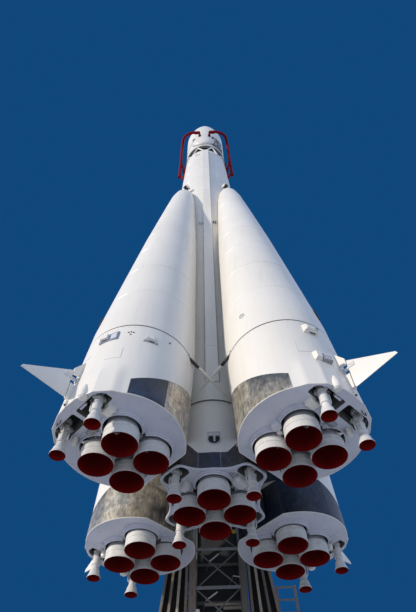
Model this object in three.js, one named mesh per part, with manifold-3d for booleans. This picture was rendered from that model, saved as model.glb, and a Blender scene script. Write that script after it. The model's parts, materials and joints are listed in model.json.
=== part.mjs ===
// Four-booster space rocket on its display pylon, as a 1:2 scale model.
// Sizes below are those of the real rocket in metres, and every solid is made at half that size, in
// millimetres.
// Origin: on the floor under the rocket's axis. +Z is up and the front of the rocket faces -Y.
// Heights named z are counted from the plane of the main nozzle mouths, NOZZLE_PLANE above the floor.

import * as THREE from "three";
import { mergeVertices } from "three/addons/utils/BufferGeometryUtils.js";
import { ConvexGeometry } from "three/addons/geometries/ConvexGeometry.js";
import Module from "manifold-3d";

const wasm = await Module();
wasm.setup();

// Scale and height over the floor
const MM = 500;               // model millimetres for one real metre
const NOZZLE_PLANE = 6.6;     // nozzle mouths over the floor
const SEAT = 0.0006;          // gap between pieces that touch, 0.3 mm on the model
const TAU = 2 * Math.PI;

// Boosters: each leans in towards the core
const BOOSTER_AZIMUTHS = { front_left: 225, front_right: 315, rear_right: 45, rear_left: 135 };
const BOOSTER = {
  baseRadial: 2.64,           // centre of the base disc, from the rocket's axis
  baseZ: 0.45,
  lean: Math.atan(0.0671),
  tailLength: 2.42,           // along the booster's own axis, up to the ring
  tankLength: 15.4,           // up to the foot of the nose
  length: 17.1,
};
// Columns: distance along the booster's axis, radius
const BOOSTER_PROFILE = [
  [0, 1.34],
  [3.05, 1.34],
  [6.06, 1.18],
  [9.57, 0.99],
  [13.6, 0.72],
  [15.4, 0.59],
  [16.3, 0.47],
  [16.9, 0.3],
  [17.1, 0.18],
];
const BASE_FLAT = { radial: 1.5, top: 1.35, half: 2 };   // flat on the inner side of the base

// Housing over the two small chambers of a booster
const HOUSING = {
  outline: [[3.3, 1.15], [3.62, 0.98], [3.87, 0.68], [4.03, 0.2]],   // radial, tangential
  crown: [[3.2, 0.6, 1.5], [3.85, 0.2, 1.4]],                        // radial, tangential, z
  shoulder: 1.05,
  inset: 0.03,
};

// Boxes on each booster's tail. Columns: angle from outboard, distance along the axis, width, height, depth
const LEFT_BOXES = [
  [23, 2.02, 0.42, 0.3, 0.1],
  [66, 1.93, 0.28, 0.28, 0.12],
];
const RIGHT_BOXES = [
  [-21, 2.05, 0.36, 0.28, 0.12],
  [-20, 0.94, 0.4, 0.34, 0.2],
];
const TAIL_BOXES = {
  front_left: LEFT_BOXES, front_right: RIGHT_BOXES, rear_right: LEFT_BOXES, rear_left: RIGHT_BOXES,
};

// Engines: four fixed chambers each, and small chambers that swing to steer
const CHAMBER = {
  mouth: 0.36, wall: 0.015, height: 0.84, shoulder: 0.36, shoulderRadius: 0.345,
  throat: 0.74, throatRadius: 0.2, depth: 0.6, depthRadius: 0.16,
  well: 0.4, wellTop: 0.86, frame: 0.49,
};
const CROSS_FRAME = { z: 0.45, side: 0.16, from: 0.3, to: 0.7, hub: 0.34, hubBottom: 0.5 };
const BOOSTER_ENGINE = { radial: 2.5, offset: 0.39 };
const CORE_CHAMBER_RADIAL = 0.552;
const VERNIER = {
  mouth: 0.16, wall: 0.012, depth: 0.26, depthRadius: 0.06, neck: 0.28, neckRadius: 0.075,
  body: 0.09, bodyFoot: 0.34, bodyTop: 0.03, crown: 0.1, pin: 0.045,
};
const RECESS = { radial: 0.166, tangential: 0.28, above: 0.2 };
// Outline of a booster's recess on one side: radial, tangential
const BOOSTER_RECESS = [
  [3.478, 0.05], [3.81, 0.05], [3.81, 0.63], [3.75, 0.76], [3.67, 0.835], [3.478, 0.835],
];
const BOOSTER_VERNIER = { radial: 3.644, tangential: 0.571, pivot: 0.63, drop: 0.713, floor: 0.58 };
const CORE_VERNIER = { radial: 1.163, pivot: 0.56, drop: 0.702 };

// Core stage
const CORE = {
  radius: 1.03, base: 0.43, ring: 2.6, ringHeight: 0.1, waist: 11, wide: 19.2, wideRadius: 1.44,
  top: 24.9, topRadius: 1.27,
};
const LOBE = { radial: 1.385, half: 0.34, root: 0.8, rootHalf: 0.42, chamfer: 0.12, flat: 1.0, top: 1.3 };
const DUCT = { half: 0.185, centre: 0.04, depth: 0.12, inner: 0.9, bottom: 3.2, top: 24.6 };
const TIP_BRACKET = {
  inner: 1.2, outer: 1.68, half: 0.13, bottom: 17.6, top: 17.85, barInner: 1.5, barOuter: 1.7, barHalf: 0.36,
  strut: 0.05, strutFrom: [1.38, 0, 19.4], strutTo: [1.6, 0, 17.75],
};
const TIE = {
  near: [0.52, -2.2, 2.8], far: [0.55, -0.85, 2.545], radius: 0.035, ringInner: 0.1, ringOuter: 0.06,
};

// Upper stage and fairing
const UPPER = { bottom: 26.2, radius: 1.27, top: 29.0 };
const TRUSS = { bays: 8, radius: 1.19, rod: 0.045, ringInner: 1.12, ringOuter: 1.26, ringHeight: 0.1 };
const BLISTER = { centre: [-0.1, -1.2, 27.1], half: [0.52, 0.2, 0.6] };
// Upper stage's chamber and its dished head. Columns: radius, height below the stage
const UPPER_ENGINE_PROFILE = [
  [0, 0.5], [0.08, 0.5], [0.32, 1.05], [0.34, 1.05], [0.12, 0.45], [0.2, 0.3], [0.75, 0.22], [0.75, 0], [0, 0],
];
const FAIRING_PROFILE = [
  [0, 29.0],
  [1.28, 29.0],
  [1.28, 31.0],
  [1.13, 32.2],
  [0.86, 33.6],
  [0.56, 35.0],
  [0.25, 36.4],
  [0.05, 37.3],
  [0, 37.5],
];

// Air rudders
const FIN = {
  thickness: 0.09, edge: 0.012, seam: 4.1, seamGap: 0.02, low: 0.76, high: 1.58, tipRadial: 5.14, tipZ: 0.88,
  rootRadial: 3.7, notchLow: 1.17, notchHigh: 1.48, humpTop: 2.2, humpRadial: 3.82,
};
const RUDDER_SHAFT = { z: 1.34, radius: 0.035, boss: 0.07, bossRadial: 3.98, gap: 0.0012 };

// Red holding arms on the upper part
const ARM = {
  pipe: 0.095, steps: 26, pad: 0.06, padReach: 0.74, clearTop: 28.0,
  barInner: 1.2, barOuter: 1.44, barHalf: 0.07, barBottom: 23.1, barTop: 26.1, strut: 0.06,
};
// Middle of the right arm's pipe, from its foot up the side and round to the front
const ARM_PATH = [
  [1.65, 0, 23.7], [1.595, -0.425, 25.85], [1.54, -0.85, 27.9],
  [1.42, -1.31, 28.12], [1.18, -1.51, 28.16], [0.87, -1.62, 28.18], [0.33, -1.62, 28.18],
];
// Struts of a red arm's bracket. Columns: height on the bar, share of the way up the pipe's straight part
const ARM_STRUTS = [[23.2, 0.05], [24.55, 0.48]];

// Pylon: four posts with lattice frames between them
const PYLON = {
  slabHalf: 5.0, slabHeight: 0.3, postX: 0.7, frontY: 4.0, rearY: 4.8, post: 0.18,
  mastTop: 2.79, mastBay: 1.08, mastLevels: 9, boomTop: 24.6, boomBays: 8,
  rung: 0.1, frontRung: 0.12, brace: 0.6, sheet: 0.04,
};
// Arms from the boom to the core: height of each one's underside
const HOLDS = { low: 2.9, middle: 12.4, top: 24.15 };
const HOLD = {
  height: 0.3, half: 0.22, inner: 0.9, saddleHalf: 0.3, saddleInner: 1.2, saddleOuter: 1.5, saddleFront: 0.12,
};
// Raking side beams: inner and outer edge at the top and at the foot
const SIDE_BEAM = {
  inner: { top: 0.8, foot: 0.92 }, outer: { top: 1.3, foot: 2.3 }, top: 2.2, front: 4.1, rear: 4.25,
  ribs: 4, ribHalf: 0.04, ribDepth: 0.22, ties: [1.9, -1.5, -5], tieHalf: 0.1, lap: 0.05,
};
const LADDER = { near: 1.6, far: 2.1, top: 0.7, stile: 0.03, rung: 0.02, step: 0.45, rungs: 15 };

const MATERIALS = {
  white: { color: 0xe9e4d8, roughness: 0.45, metalness: 0.05 },
  base: { color: 0xbfc2cb, roughness: 0.5, metalness: 0.1 },
  engine: { color: 0xd6d4cf, roughness: 0.4, metalness: 0.2 },
  red: { color: 0x9c1410, roughness: 0.45, metalness: 0.1 },
  pylon: { color: 0x45423f, roughness: 0.65, metalness: 0.3 },
  slab: { color: 0x8a8885, roughness: 0.8, metalness: 0.0 },
  steel: { color: 0x8d8880, roughness: 0.4, metalness: 0.6 },
};

const radians = (degrees) => (degrees * Math.PI) / 180;
const point = (x, y, z) => new THREE.Vector3(x * MM, y * MM, z * MM);

// Solids: a closed geometry in model millimetres becomes a solid that can be joined and cut
function solid(geometry) {
  const bare = geometry.clone();
  bare.deleteAttribute("normal");
  bare.deleteAttribute("uv");
  const merged = mergeVertices(bare, 1e-3);
  const positions = merged.attributes.position.array;
  const triangles = [];
  let volume = 0;
  const a = new THREE.Vector3();
  const b = new THREE.Vector3();
  const c = new THREE.Vector3();
  for (let i = 0; i < merged.index.count; i += 3) {
    const [p, q, r] = [0, 1, 2].map((k) => merged.index.getX(i + k));
    if (p === q || q === r || r === p) continue;
    triangles.push([p, q, r]);
    a.fromArray(positions, 3 * p);
    b.fromArray(positions, 3 * q);
    c.fromArray(positions, 3 * r);
    volume += a.dot(b.cross(c));
  }
  const outward = volume > 0 ? triangles : triangles.map(([p, q, r]) => [p, r, q]);
  return new wasm.Manifold(new wasm.Mesh({
    numProp: 3,
    vertProperties: Float32Array.from(positions),
    triVerts: Uint32Array.from(outward.flat()),
  }));
}

const join = (...solids) => solids.flat().reduce((whole, next) => whole.add(next));
const cut = (whole, ...tools) => tools.flat().reduce((left, tool) => left.subtract(tool), whole);

function placed(body, { x = 0, y = 0, z = 0, lean = 0, turn = 0 } = {}) {
  return body.rotate([0, (lean * 180) / Math.PI, 0]).rotate([0, 0, turn]).translate([x * MM, y * MM, z * MM]);
}

// Profile points are [radius, height] in real metres
function lathe(profile, sides) {
  const points = profile.map(([radius, height]) => new THREE.Vector2(radius * MM, height * MM));
  const geometry = new THREE.LatheGeometry(points, sides);
  geometry.rotateX(Math.PI / 2);
  return solid(geometry);
}

function box([x0, x1], [y0, y1], [z0, z1]) {
  const geometry = new THREE.BoxGeometry((x1 - x0) * MM, (y1 - y0) * MM, (z1 - z0) * MM);
  geometry.translate(((x0 + x1) / 2) * MM, ((y0 + y1) / 2) * MM, ((z0 + z1) / 2) * MM);
  return solid(geometry);
}

function cylinder(x, y, radius, z0, z1, sides) {
  return placed(lathe([[0, z0], [radius, z0], [radius, z1], [0, z1]], sides), { x, y });
}

const block = (corners) => solid(new ConvexGeometry(corners.map(([x, y, z]) => point(x, y, z))));

function rod(from, to, radius, sides = 6) {
  const start = point(...from);
  const end = point(...to);
  const geometry = new THREE.CylinderGeometry(radius * MM, radius * MM, start.distanceTo(end), sides);
  const along = end.clone().sub(start).normalize();
  geometry.applyQuaternion(new THREE.Quaternion().setFromUnitVectors(new THREE.Vector3(0, 1, 0), along));
  const middle = start.add(end).multiplyScalar(0.5);
  geometry.translate(middle.x, middle.y, middle.z);
  return solid(geometry);
}

// A square beam between two points that share a wall plane; side is its width across
function beam(from, to, side) {
  const start = point(...from);
  const end = point(...to);
  const along = end.clone().sub(start);
  const length = along.length();
  along.normalize();
  const flat = Math.abs(along.x) > Math.abs(along.y) ? new THREE.Vector3(0, 1, 0) : new THREE.Vector3(1, 0, 0);
  const across = flat.sub(along.clone().multiplyScalar(flat.dot(along))).normalize();
  const third = new THREE.Vector3().crossVectors(along, across);
  const geometry = new THREE.BoxGeometry(side * MM, side * MM, length);
  geometry.applyMatrix4(new THREE.Matrix4().makeBasis(across, third, along));
  const middle = start.add(end).multiplyScalar(0.5);
  geometry.translate(middle.x, middle.y, middle.z);
  return solid(geometry);
}

function pipe(curve, radius, steps) {
  const ring = new THREE.Shape();
  const sides = 6;
  for (let i = 0; i <= sides; i += 1) {
    const angle = (i / sides) * TAU;
    const spot = [radius * MM * Math.cos(angle), radius * MM * Math.sin(angle)];
    if (i === 0) ring.moveTo(...spot);
    else ring.lineTo(...spot);
  }
  const settings = { steps, curveSegments: 1, bevelEnabled: false, extrudePath: curve };
  return solid(new THREE.ExtrudeGeometry(ring, settings));
}

const root = new THREE.Group();
const raised = new THREE.Group();
raised.position.z = NOZZLE_PLANE * MM;
root.add(raised);

function add(name, body, finish, parent = raised) {
  const { vertProperties, triVerts } = body.getMesh();
  const geometry = new THREE.BufferGeometry();
  geometry.setAttribute("position", new THREE.BufferAttribute(Float32Array.from(vertProperties), 3));
  geometry.setIndex(new THREE.BufferAttribute(Uint32Array.from(triVerts), 1));
  const mesh = new THREE.Mesh(geometry, new THREE.MeshStandardMaterial(MATERIALS[finish]));
  mesh.name = name;
  parent.add(mesh);
  return mesh;
}

// Radius of a profile at a distance along it
function radiusAt(profile, distance) {
  const next = profile.findIndex(([along]) => along >= distance);
  if (next <= 0) return profile[0][1];
  const [a0, r0] = profile[next - 1];
  const [a1, r1] = profile[next];
  return r0 + ((r1 - r0) * (distance - a0)) / (a1 - a0);
}

// A stretch of a booster's body between two distances along its axis, upright on its own axis
function boosterStretch(from, to, sides, grow = 0) {
  const inside = BOOSTER_PROFILE.filter(([along]) => along > from + 1e-6 && along < to - 1e-6);
  const rows = [[from, radiusAt(BOOSTER_PROFILE, from)], ...inside, [to, radiusAt(BOOSTER_PROFILE, to)]];
  const outline = rows.map(([along, radius]) => [radius + grow, along === to ? along + grow : along]);
  return lathe([[0, from], ...outline, [0, to + grow]], sides);
}

const leaned = (body) => placed(body, { x: BOOSTER.baseRadial, z: BOOSTER.baseZ, lean: -BOOSTER.lean });

// Whole booster bodies, a little larger, to cut a neighbour that reaches them
const BODY_SIDES = 28;
const boosterBodies = (grow) => Object.values(BOOSTER_AZIMUTHS).map((azimuth) =>
  placed(leaned(boosterStretch(0.9, BOOSTER.length, BODY_SIDES, grow)), { turn: azimuth }));

// Booster tail: engine bay with the base disc, the housing of the two small chambers, the fin's root and
// the boxes on its skin
function boosterTail(boxes) {
  const shell = leaned(boosterStretch(0, BOOSTER.tailLength, BODY_SIDES));
  const bothSides = ([r, t, z]) => [[r, t, z], [r, -t, z]];
  const skirt = HOUSING.outline.flatMap(([r, t]) => [
    ...bothSides([r, t, BOOSTER_VERNIER.floor]),
    ...bothSides([r - HOUSING.inset, t, HOUSING.shoulder]),
  ]);
  const housing = block([...skirt, ...HOUSING.crown.flatMap(bothSides)]);
  const half = FIN.thickness / 2;
  const { rootRadial, low, notchLow, notchHigh, humpTop, humpRadial } = FIN;
  const outer = FIN.seam - FIN.seamGap / 2;
  const plate = (rows) => block(rows.flatMap(([r, z]) => [[r, half, z], [r, -half, z]]));
  const rootLow = plate([[rootRadial, low], [outer, low], [outer, notchLow], [rootRadial, notchLow - 0.07]]);
  const rootHigh = plate([[rootRadial, notchHigh + 0.14], [outer, notchHigh], [outer, notchHigh + 0.18],
    [rootRadial, humpTop], [humpRadial, humpTop]]);
  const { z, boss, bossRadial } = RUDDER_SHAFT;
  const bearing = rod([rootRadial, 0, z], [bossRadial, 0, z], boss, 8);
  const fittings = boxes.map(([angle, along, width, height, depth]) => {
    const radius = radiusAt(BOOSTER_PROFILE, along);
    const heights = [along - height / 2, along + height / 2];
    const fitting = box([radius - 0.1, radius + depth], [-width / 2, width / 2], heights);
    return leaned(placed(fitting, { turn: angle }));
  });
  const whole = join(shell, housing, rootLow, rootHigh, bearing, fittings);
  const flat = box([0, BASE_FLAT.radial], [-BASE_FLAT.half, BASE_FLAT.half], [-1, BASE_FLAT.top]);
  const { radial, offset } = BOOSTER_ENGINE;
  const wells = [[1, 1], [1, -1], [-1, 1], [-1, -1]].map(([i, j]) =>
    cylinder(radial + i * offset, j * offset, CHAMBER.well, -1, CHAMBER.wellTop, 16));
  const { frame, wellTop } = CHAMBER;
  const middle = box([radial - frame, radial + frame], [-frame, frame], [-1, wellTop]);
  const recesses = [-1, 1].map((side) => block(BOOSTER_RECESS.flatMap(([r, t]) =>
    [0, BOOSTER_VERNIER.pivot + RECESS.above].map((height) => [r, side * t, height]))));
  return cut(whole, flat, wells, middle, recesses);
}

// Fixed chamber, mouth down at z = 0, closed at its throat
function chamber(sides) {
  const { mouth, wall, height, shoulder, shoulderRadius, throat, throatRadius, depth, depthRadius } = CHAMBER;
  return lathe([
    [0, depth],
    [depthRadius, depth],
    [mouth - wall, 0],
    [mouth, 0],
    [shoulderRadius, shoulder],
    [throatRadius, throat],
    [throatRadius, height],
    [0, height],
  ], sides);
}

// Four chambers joined by a cross frame above their mouths
function engine(spots, centre, sides) {
  const chambers = spots.map(([x, y]) => placed(chamber(sides), { x, y }));
  const { z, side, from, to, hub, hubBottom } = CROSS_FRAME;
  const arms = spots.map(([x, y], i) => {
    const [nextX, nextY] = spots[(i + 1) % spots.length];
    const at = (share) => [x + (nextX - x) * share, y + (nextY - y) * share, z];
    return beam(at(from), at(to), side);
  });
  return join(chambers, arms, cylinder(centre, 0, hub, hubBottom, CHAMBER.wellTop - SEAT, 8));
}

// Small steering chamber, in a frame whose origin is its pivot and whose X is the pivot's axis
function vernier(drop) {
  const { mouth, wall, depth, depthRadius, neck, neckRadius, body, bodyFoot, bodyTop, crown, pin } = VERNIER;
  const shape = lathe([
    [0, -drop + depth],
    [depthRadius, -drop + depth],
    [mouth - wall, -drop],
    [mouth, -drop],
    [neckRadius, -drop + neck],
    [body, -drop + bodyFoot],
    [body, bodyTop],
    [0, crown],
  ], 10);
  const half = RECESS.radial - SEAT;
  return join(shape, rod([-half, 0, 0], [half, 0, 0], pin, 6));
}

// Movable blade of an air rudder, in the booster's frame: thick in the middle, thin along its edges
function rudder() {
  const { thickness, edge, low, high, tipRadial, tipZ } = FIN;
  const half = thickness / 2;
  const inner = FIN.seam + FIN.seamGap / 2;
  const rows = [
    [inner, low + 0.08, half],
    [inner, high - 0.1, half],
    [inner, low, edge],
    [inner, high, edge],
    [tipRadial, tipZ, edge],
    [tipRadial - 0.02, tipZ + 0.06, edge],
  ];
  const blade = block(rows.flatMap(([r, z, t]) => [[r, t, z], [r, -t, z]]));
  const { z, radius, bossRadial, gap } = RUDDER_SHAFT;
  return join(blade, rod([bossRadial + gap, 0, z], [inner + 0.1, 0, z], radius, 6));
}

function addBooster(name, azimuth) {
  const frame = new THREE.Group();
  frame.rotation.z = radians(azimuth);
  raised.add(frame);
  const { tailLength, tankLength, length } = BOOSTER;
  add(`booster_tail_${name}`, boosterTail(TAIL_BOXES[name]), "white", frame);
  const tank = boosterStretch(tailLength + SEAT, tankLength, BODY_SIDES);
  const nose = boosterStretch(tankLength + SEAT, length, BODY_SIDES);
  add(`booster_tank_${name}`, leaned(tank), "white", frame);
  add(`booster_nose_${name}`, leaned(nose), "white", frame);
  const { radial, offset } = BOOSTER_ENGINE;
  const spots = [[1, 1], [-1, 1], [-1, -1], [1, -1]].map(([i, j]) => [radial + i * offset, j * offset]);
  add(`booster_engine_${name}`, engine(spots, radial, 12), "engine", frame);
  for (const [label, side] of [["a", -1], ["b", 1]]) {
    const steering = add(`booster_vernier_${label}_${name}`, vernier(BOOSTER_VERNIER.drop), "engine", frame);
    const { radial: r, tangential: t, pivot } = BOOSTER_VERNIER;
    steering.position.copy(point(r, side * t, pivot));
  }
  add(`air_rudder_${name}`, rudder(), "white", frame);
}

// Core body radius at a height
const CORE_PROFILE = [
  [CORE.ring, CORE.radius],
  [CORE.waist, CORE.radius],
  [CORE.wide, CORE.wideRadius],
  [CORE.top, CORE.topRadius],
];
function coreStretch(from, to, sides, grow = 0) {
  const inside = CORE_PROFILE.filter(([z]) => z > from + 1e-6 && z < to - 1e-6);
  const rows = [[from, radiusAt(CORE_PROFILE, from)], ...inside, [to, radiusAt(CORE_PROFILE, to)]];
  return lathe([[0, from], ...rows.map(([z, radius]) => [radius + grow, z]), [0, to]], sides);
}

const CORE_SIDES = 32;
const DIAGONALS = [45, 135, 225, 315];
const QUARTERS = [0, 90, 180, 270];

// Core tail: engine bay with a lobe on each diagonal over a small chamber
function coreTail() {
  const barrel = cylinder(0, 0, CORE.radius, CORE.base, CORE.ring - CORE.ringHeight, CORE_SIDES);
  const { radial, half, root, rootHalf, chamfer, flat, top } = LOBE;
  const rows = [
    [root, rootHalf, CORE.base],
    [radial - chamfer, half, CORE.base],
    [radial, half - chamfer, CORE.base],
    [radial - chamfer, half, flat],
    [radial, half - chamfer, flat],
    [root + 0.1, half, top],
  ];
  const lobe = block([...rows.flatMap(([r, t, z]) => [[r, t, z], [r, -t, z]]), [root + 0.18, 0, top + 0.05]]);
  const lobes = DIAGONALS.map((azimuth) => placed(lobe, { turn: azimuth }));
  const wells = QUARTERS.map((azimuth) =>
    placed(cylinder(CORE_CHAMBER_RADIAL, 0, CHAMBER.well, 0, CHAMBER.wellTop, 16), { turn: azimuth }));
  const { frame, wellTop } = CHAMBER;
  const middle = placed(box([-frame, frame], [-frame, frame], [0, wellTop]), { turn: 45 });
  const recess = box(
    [CORE_VERNIER.radial - RECESS.radial, CORE_VERNIER.radial + RECESS.radial],
    [-RECESS.tangential, RECESS.tangential],
    [0, CORE_VERNIER.pivot + RECESS.above],
  );
  const recesses = DIAGONALS.map((azimuth) => placed(recess, { turn: azimuth }));
  return cut(join(barrel, lobes), wells, middle, recesses);
}

// A ring of square section
const hoop = (inner, outer, z0, z1, sides) =>
  lathe([[inner, z0], [outer, z0], [outer, z1], [inner, z1], [inner, z0]], sides);

// Ring on the core with crossed tie rods to the boosters' rings
function tieFrame() {
  const { near, far, radius, ringInner, ringOuter } = TIE;
  const bottom = CORE.ring - CORE.ringHeight + SEAT;
  const ring = hoop(CORE.radius - ringInner, CORE.radius + ringOuter, bottom, CORE.ring - SEAT, CORE_SIDES);
  const rods = QUARTERS.flatMap((turn) => [-1, 1].map((side) =>
    placed(rod([side * near[0], near[1], near[2]], [-side * far[0], far[1], far[2]], radius, 5), { turn })));
  return cut(join(ring, rods), boosterBodies(SEAT));
}

// Core tank, fluted where the boosters' noses lie against it, with a cable duct up its front and a bracket
// over each booster's tip
const FLUTE = 0.0015;
function ductStretch(bottom, top) {
  const edges = [DUCT.centre - DUCT.half, DUCT.centre + DUCT.half];
  return block([bottom, top].flatMap((z) => {
    const front = -radiusAt(CORE_PROFILE, z) - DUCT.depth;
    return edges.flatMap((x) => [[x, front, z], [x, -DUCT.inner, z]]);
  }));
}

function coreTanks() {
  const lower = join(coreStretch(CORE.ring, CORE.waist, CORE_SIDES), ductStretch(DUCT.bottom, CORE.waist));
  const { inner, outer, half, bottom, top, barInner, barOuter, barHalf } = TIP_BRACKET;
  const bracket = join(
    box([inner, outer], [-half, half], [bottom, top]),
    box([barInner, barOuter], [-barHalf, barHalf], [bottom, top]),
    rod(TIP_BRACKET.strutFrom, TIP_BRACKET.strutTo, TIP_BRACKET.strut),
  );
  const upper = join(
    coreStretch(CORE.waist + SEAT, CORE.top, CORE_SIDES),
    ductStretch(CORE.waist + SEAT, CORE.wide),
    ductStretch(CORE.wide, DUCT.top),
    DIAGONALS.map((azimuth) => placed(bracket, { turn: azimuth })),
  );
  return { lower: cut(lower, boosterBodies(FLUTE)), upper: cut(upper, boosterBodies(FLUTE)) };
}

// Open truss between the core and the upper stage
function truss() {
  const low = CORE.top + SEAT;
  const high = UPPER.bottom - SEAT;
  const { bays, radius, rod: thick, ringInner, ringOuter, ringHeight } = TRUSS;
  const middle = ringHeight / 2;
  const at = (step, z) => [radius * Math.cos((step / bays) * TAU), radius * Math.sin((step / bays) * TAU), z];
  const rods = Array.from({ length: 2 * bays }, (_, i) =>
    rod(at(Math.ceil(i / 2), low + middle), at(Math.floor(i / 2) + 0.5, high - middle), thick, 4));
  const lowRing = hoop(ringInner, ringOuter, low, low + ringHeight, 24);
  const highRing = hoop(ringInner, ringOuter, high - ringHeight, high, 24);
  return join(lowRing, highRing, rods);
}

function upperStage() {
  const { bottom, radius, top } = UPPER;
  const barrel = cylinder(0, 0, radius, bottom, top - SEAT, CORE_SIDES);
  const blister = new THREE.SphereGeometry(1, 12, 8);
  blister.scale(...BLISTER.half.map((size) => size * MM));
  blister.translate(...BLISTER.centre.map((place) => place * MM));
  return join(barrel, solid(blister));
}

// Single chamber of the upper stage, seen through the truss
function upperEngine() {
  const top = UPPER.bottom - SEAT;
  return lathe(UPPER_ENGINE_PROFILE.map(([radius, below]) => [radius, top - below]), 16);
}

// Red arm: a pipe up the side that bends round to the front, on a bracket along the core
function redArm(side) {
  const { pipe: thick, steps, pad, padReach, clearTop } = ARM;
  const path = ARM_PATH.map(([x, y, z]) => [side * x, y, z]);
  const curve = new THREE.CatmullRomCurve3(path.map((spot) => point(...spot)));
  const [tipX, tipY, ring] = path[path.length - 1];
  const reach = rod([tipX, tipY, ring], [tipX * padReach, tipY * padReach, ring], pad, 6);
  const { barInner, barOuter, barHalf, barBottom, barTop, strut } = ARM;
  const edges = side > 0 ? [barInner, barOuter] : [-barOuter, -barInner];
  const bar = box(edges, [-barHalf, barHalf], [barBottom, barTop]);
  const [foot, , bend] = path;
  const struts = ARM_STRUTS.map(([height, share]) => rod(
    [side * (barOuter - strut), 0, height],
    foot.map((start, i) => start + (bend[i] - start) * share),
    strut,
  ));
  const clearCore = coreStretch(CORE.waist, CORE.top, CORE_SIDES, SEAT);
  const clearTruss = cylinder(0, 0, UPPER.radius + 0.04, CORE.top - 0.2, clearTop, CORE_SIDES);
  const clearStage = cylinder(0, 0, UPPER.radius + SEAT, clearTop, UPPER.top, CORE_SIDES);
  return cut(join(pipe(curve, thick, steps), reach, bar, struts), clearCore, clearTruss, clearStage);
}

// One wall of lattice between two uprights: rungs at every level, and diagonals in each bay
function wall(from, to, levels, side, crossed) {
  const at = ([x, y], z) => [x, y, z];
  const pieces = levels.map((z) => beam(at(from, z), at(to, z), side));
  for (let i = 0; i + 1 < levels.length; i += 1) {
    const [low, high] = [levels[i], levels[i + 1]];
    if (crossed || i % 2 === 0) pieces.push(beam(at(from, low), at(to, high), side * PYLON.brace));
    if (crossed || i % 2 === 1) pieces.push(beam(at(to, low), at(from, high), side * PYLON.brace));
  }
  return pieces;
}

const FLOOR = -NOZZLE_PLANE;
const SLAB_TOP = FLOOR + PYLON.slabHeight;
const corners = (x, y0, y1) => [[-x, y0], [x, y0], [x, y1], [-x, y1]];

// Four lattice frames round a shaft: the front and rear frames hold the posts, the side frames fit between
// them, and the rear frame is closed with a sheet
function latticeFrames(bottom, top, levels, sideLevels, frontRung, crossed, extras) {
  const { postX, frontY, rearY, post, rung, sheet } = PYLON;
  const postAt = (x, y, grow = 0) => box(
    [x - post / 2 - grow, x + post / 2 + grow],
    [y - post / 2 - grow, y + post / 2 + grow],
    [bottom, top],
  );
  const upright = (y) => [postAt(-postX, y), postAt(postX, y)];
  const allPosts = [-postX, postX].flatMap((x) => [postAt(x, frontY, SEAT), postAt(x, rearY, SEAT)]);
  const sideWall = (x) => cut(
    join(wall([x, frontY + post / 2], [x, rearY - post / 2], sideLevels, rung, false)),
    allPosts,
  );
  const backing = box([-postX, postX], [rearY - sheet / 2, rearY + sheet / 2], [bottom, top]);
  return {
    front: join(upright(frontY), wall([-postX, frontY], [postX, frontY], levels, frontRung, crossed), extras),
    rear: join(upright(rearY), wall([-postX, rearY], [postX, rearY], sideLevels, rung, false), backing),
    left: sideWall(-postX),
    right: sideWall(postX),
  };
}

function mast() {
  const { post, mastTop, mastBay, mastLevels, frontRung } = PYLON;
  const levels = Array.from({ length: mastLevels }, (_, i) => mastTop - post / 2 - i * mastBay);
  const everySecond = levels.filter((_, i) => i % 2 === 0);
  return latticeFrames(SLAB_TOP + SEAT, mastTop, levels, everySecond, frontRung, true, []);
}

function boom() {
  const { postX, frontY, post, mastTop, boomTop, boomBays, rung } = PYLON;
  const step = (boomTop - mastTop - post) / boomBays;
  const levels = Array.from({ length: boomBays + 1 }, (_, i) => mastTop + post / 2 + i * step);
  const crossbars = Object.values(HOLDS).map((z) =>
    box([-postX, postX], [frontY - post / 2, frontY + post / 2], [z, z + HOLD.height]));
  return latticeFrames(mastTop + SEAT, boomTop, levels, levels, rung, false, crossbars);
}

// Arm from the boom to the core, shaped to the core's skin
function cradle(z, half) {
  const front = PYLON.frontY - PYLON.post / 2 - SEAT;
  const arm = box([-half, half], [HOLD.inner, front], [z, z + HOLD.height]);
  return cut(arm, coreStretch(CORE.ring, CORE.top, CORE_SIDES, SEAT));
}

// Half ring round the back of the core at the top of the boom
function saddle() {
  const bottom = HOLDS.top;
  const top = bottom + HOLD.height;
  const { saddleInner, saddleOuter, saddleFront, saddleHalf } = HOLD;
  const ring = hoop(saddleInner, saddleOuter, bottom, top, CORE_SIDES);
  const half = ring.intersect(box([-2, 2], [saddleFront, 2], [bottom - 0.1, top + 0.1]));
  return cut(join(half, cradle(bottom, saddleHalf)), coreStretch(CORE.ring, CORE.top, CORE_SIDES, SEAT));
}

// Raking side beam of the pylon with upright ribs on its front and ties to the mast
function sideBeam(side) {
  const { inner, outer, front, rear, ribs, ribHalf, ribDepth, ties, tieHalf, lap } = SIDE_BEAM;
  const ends = { top: SIDE_BEAM.top, foot: SLAB_TOP + SEAT };
  const slanted = (x0, x1, y0, y1) => block(Object.entries(ends).flatMap(([end, z]) =>
    [x0(end), x1(end)].flatMap((x) => [[side * x, y0, z], [side * x, y1, z]])));
  const plate = slanted((end) => inner[end], (end) => outer[end], front, rear);
  const ribPlates = Array.from({ length: ribs }, (_, i) => {
    const middle = (end) => {
      const from = inner[end] + ribHalf;
      return from + ((outer[end] - ribHalf - from) * i) / (ribs - 1);
    };
    const edges = [-ribHalf, ribHalf].map((shift) => (end) => middle(end) + shift);
    return slanted(...edges, front - ribDepth, front + lap);
  });
  const post = PYLON.postX + PYLON.post / 2 + SEAT;
  const bars = ties.map((height) => {
    const share = (ends.top - height) / (ends.top - ends.foot);
    const reach = inner.top + (inner.foot - inner.top) * share + lap;
    const [x0, x1] = side > 0 ? [post, reach] : [-reach, -post];
    return box([x0, x1], [front - lap, rear], [height - tieHalf, height + tieHalf]);
  });
  return join(plate, ribPlates, bars);
}

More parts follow.
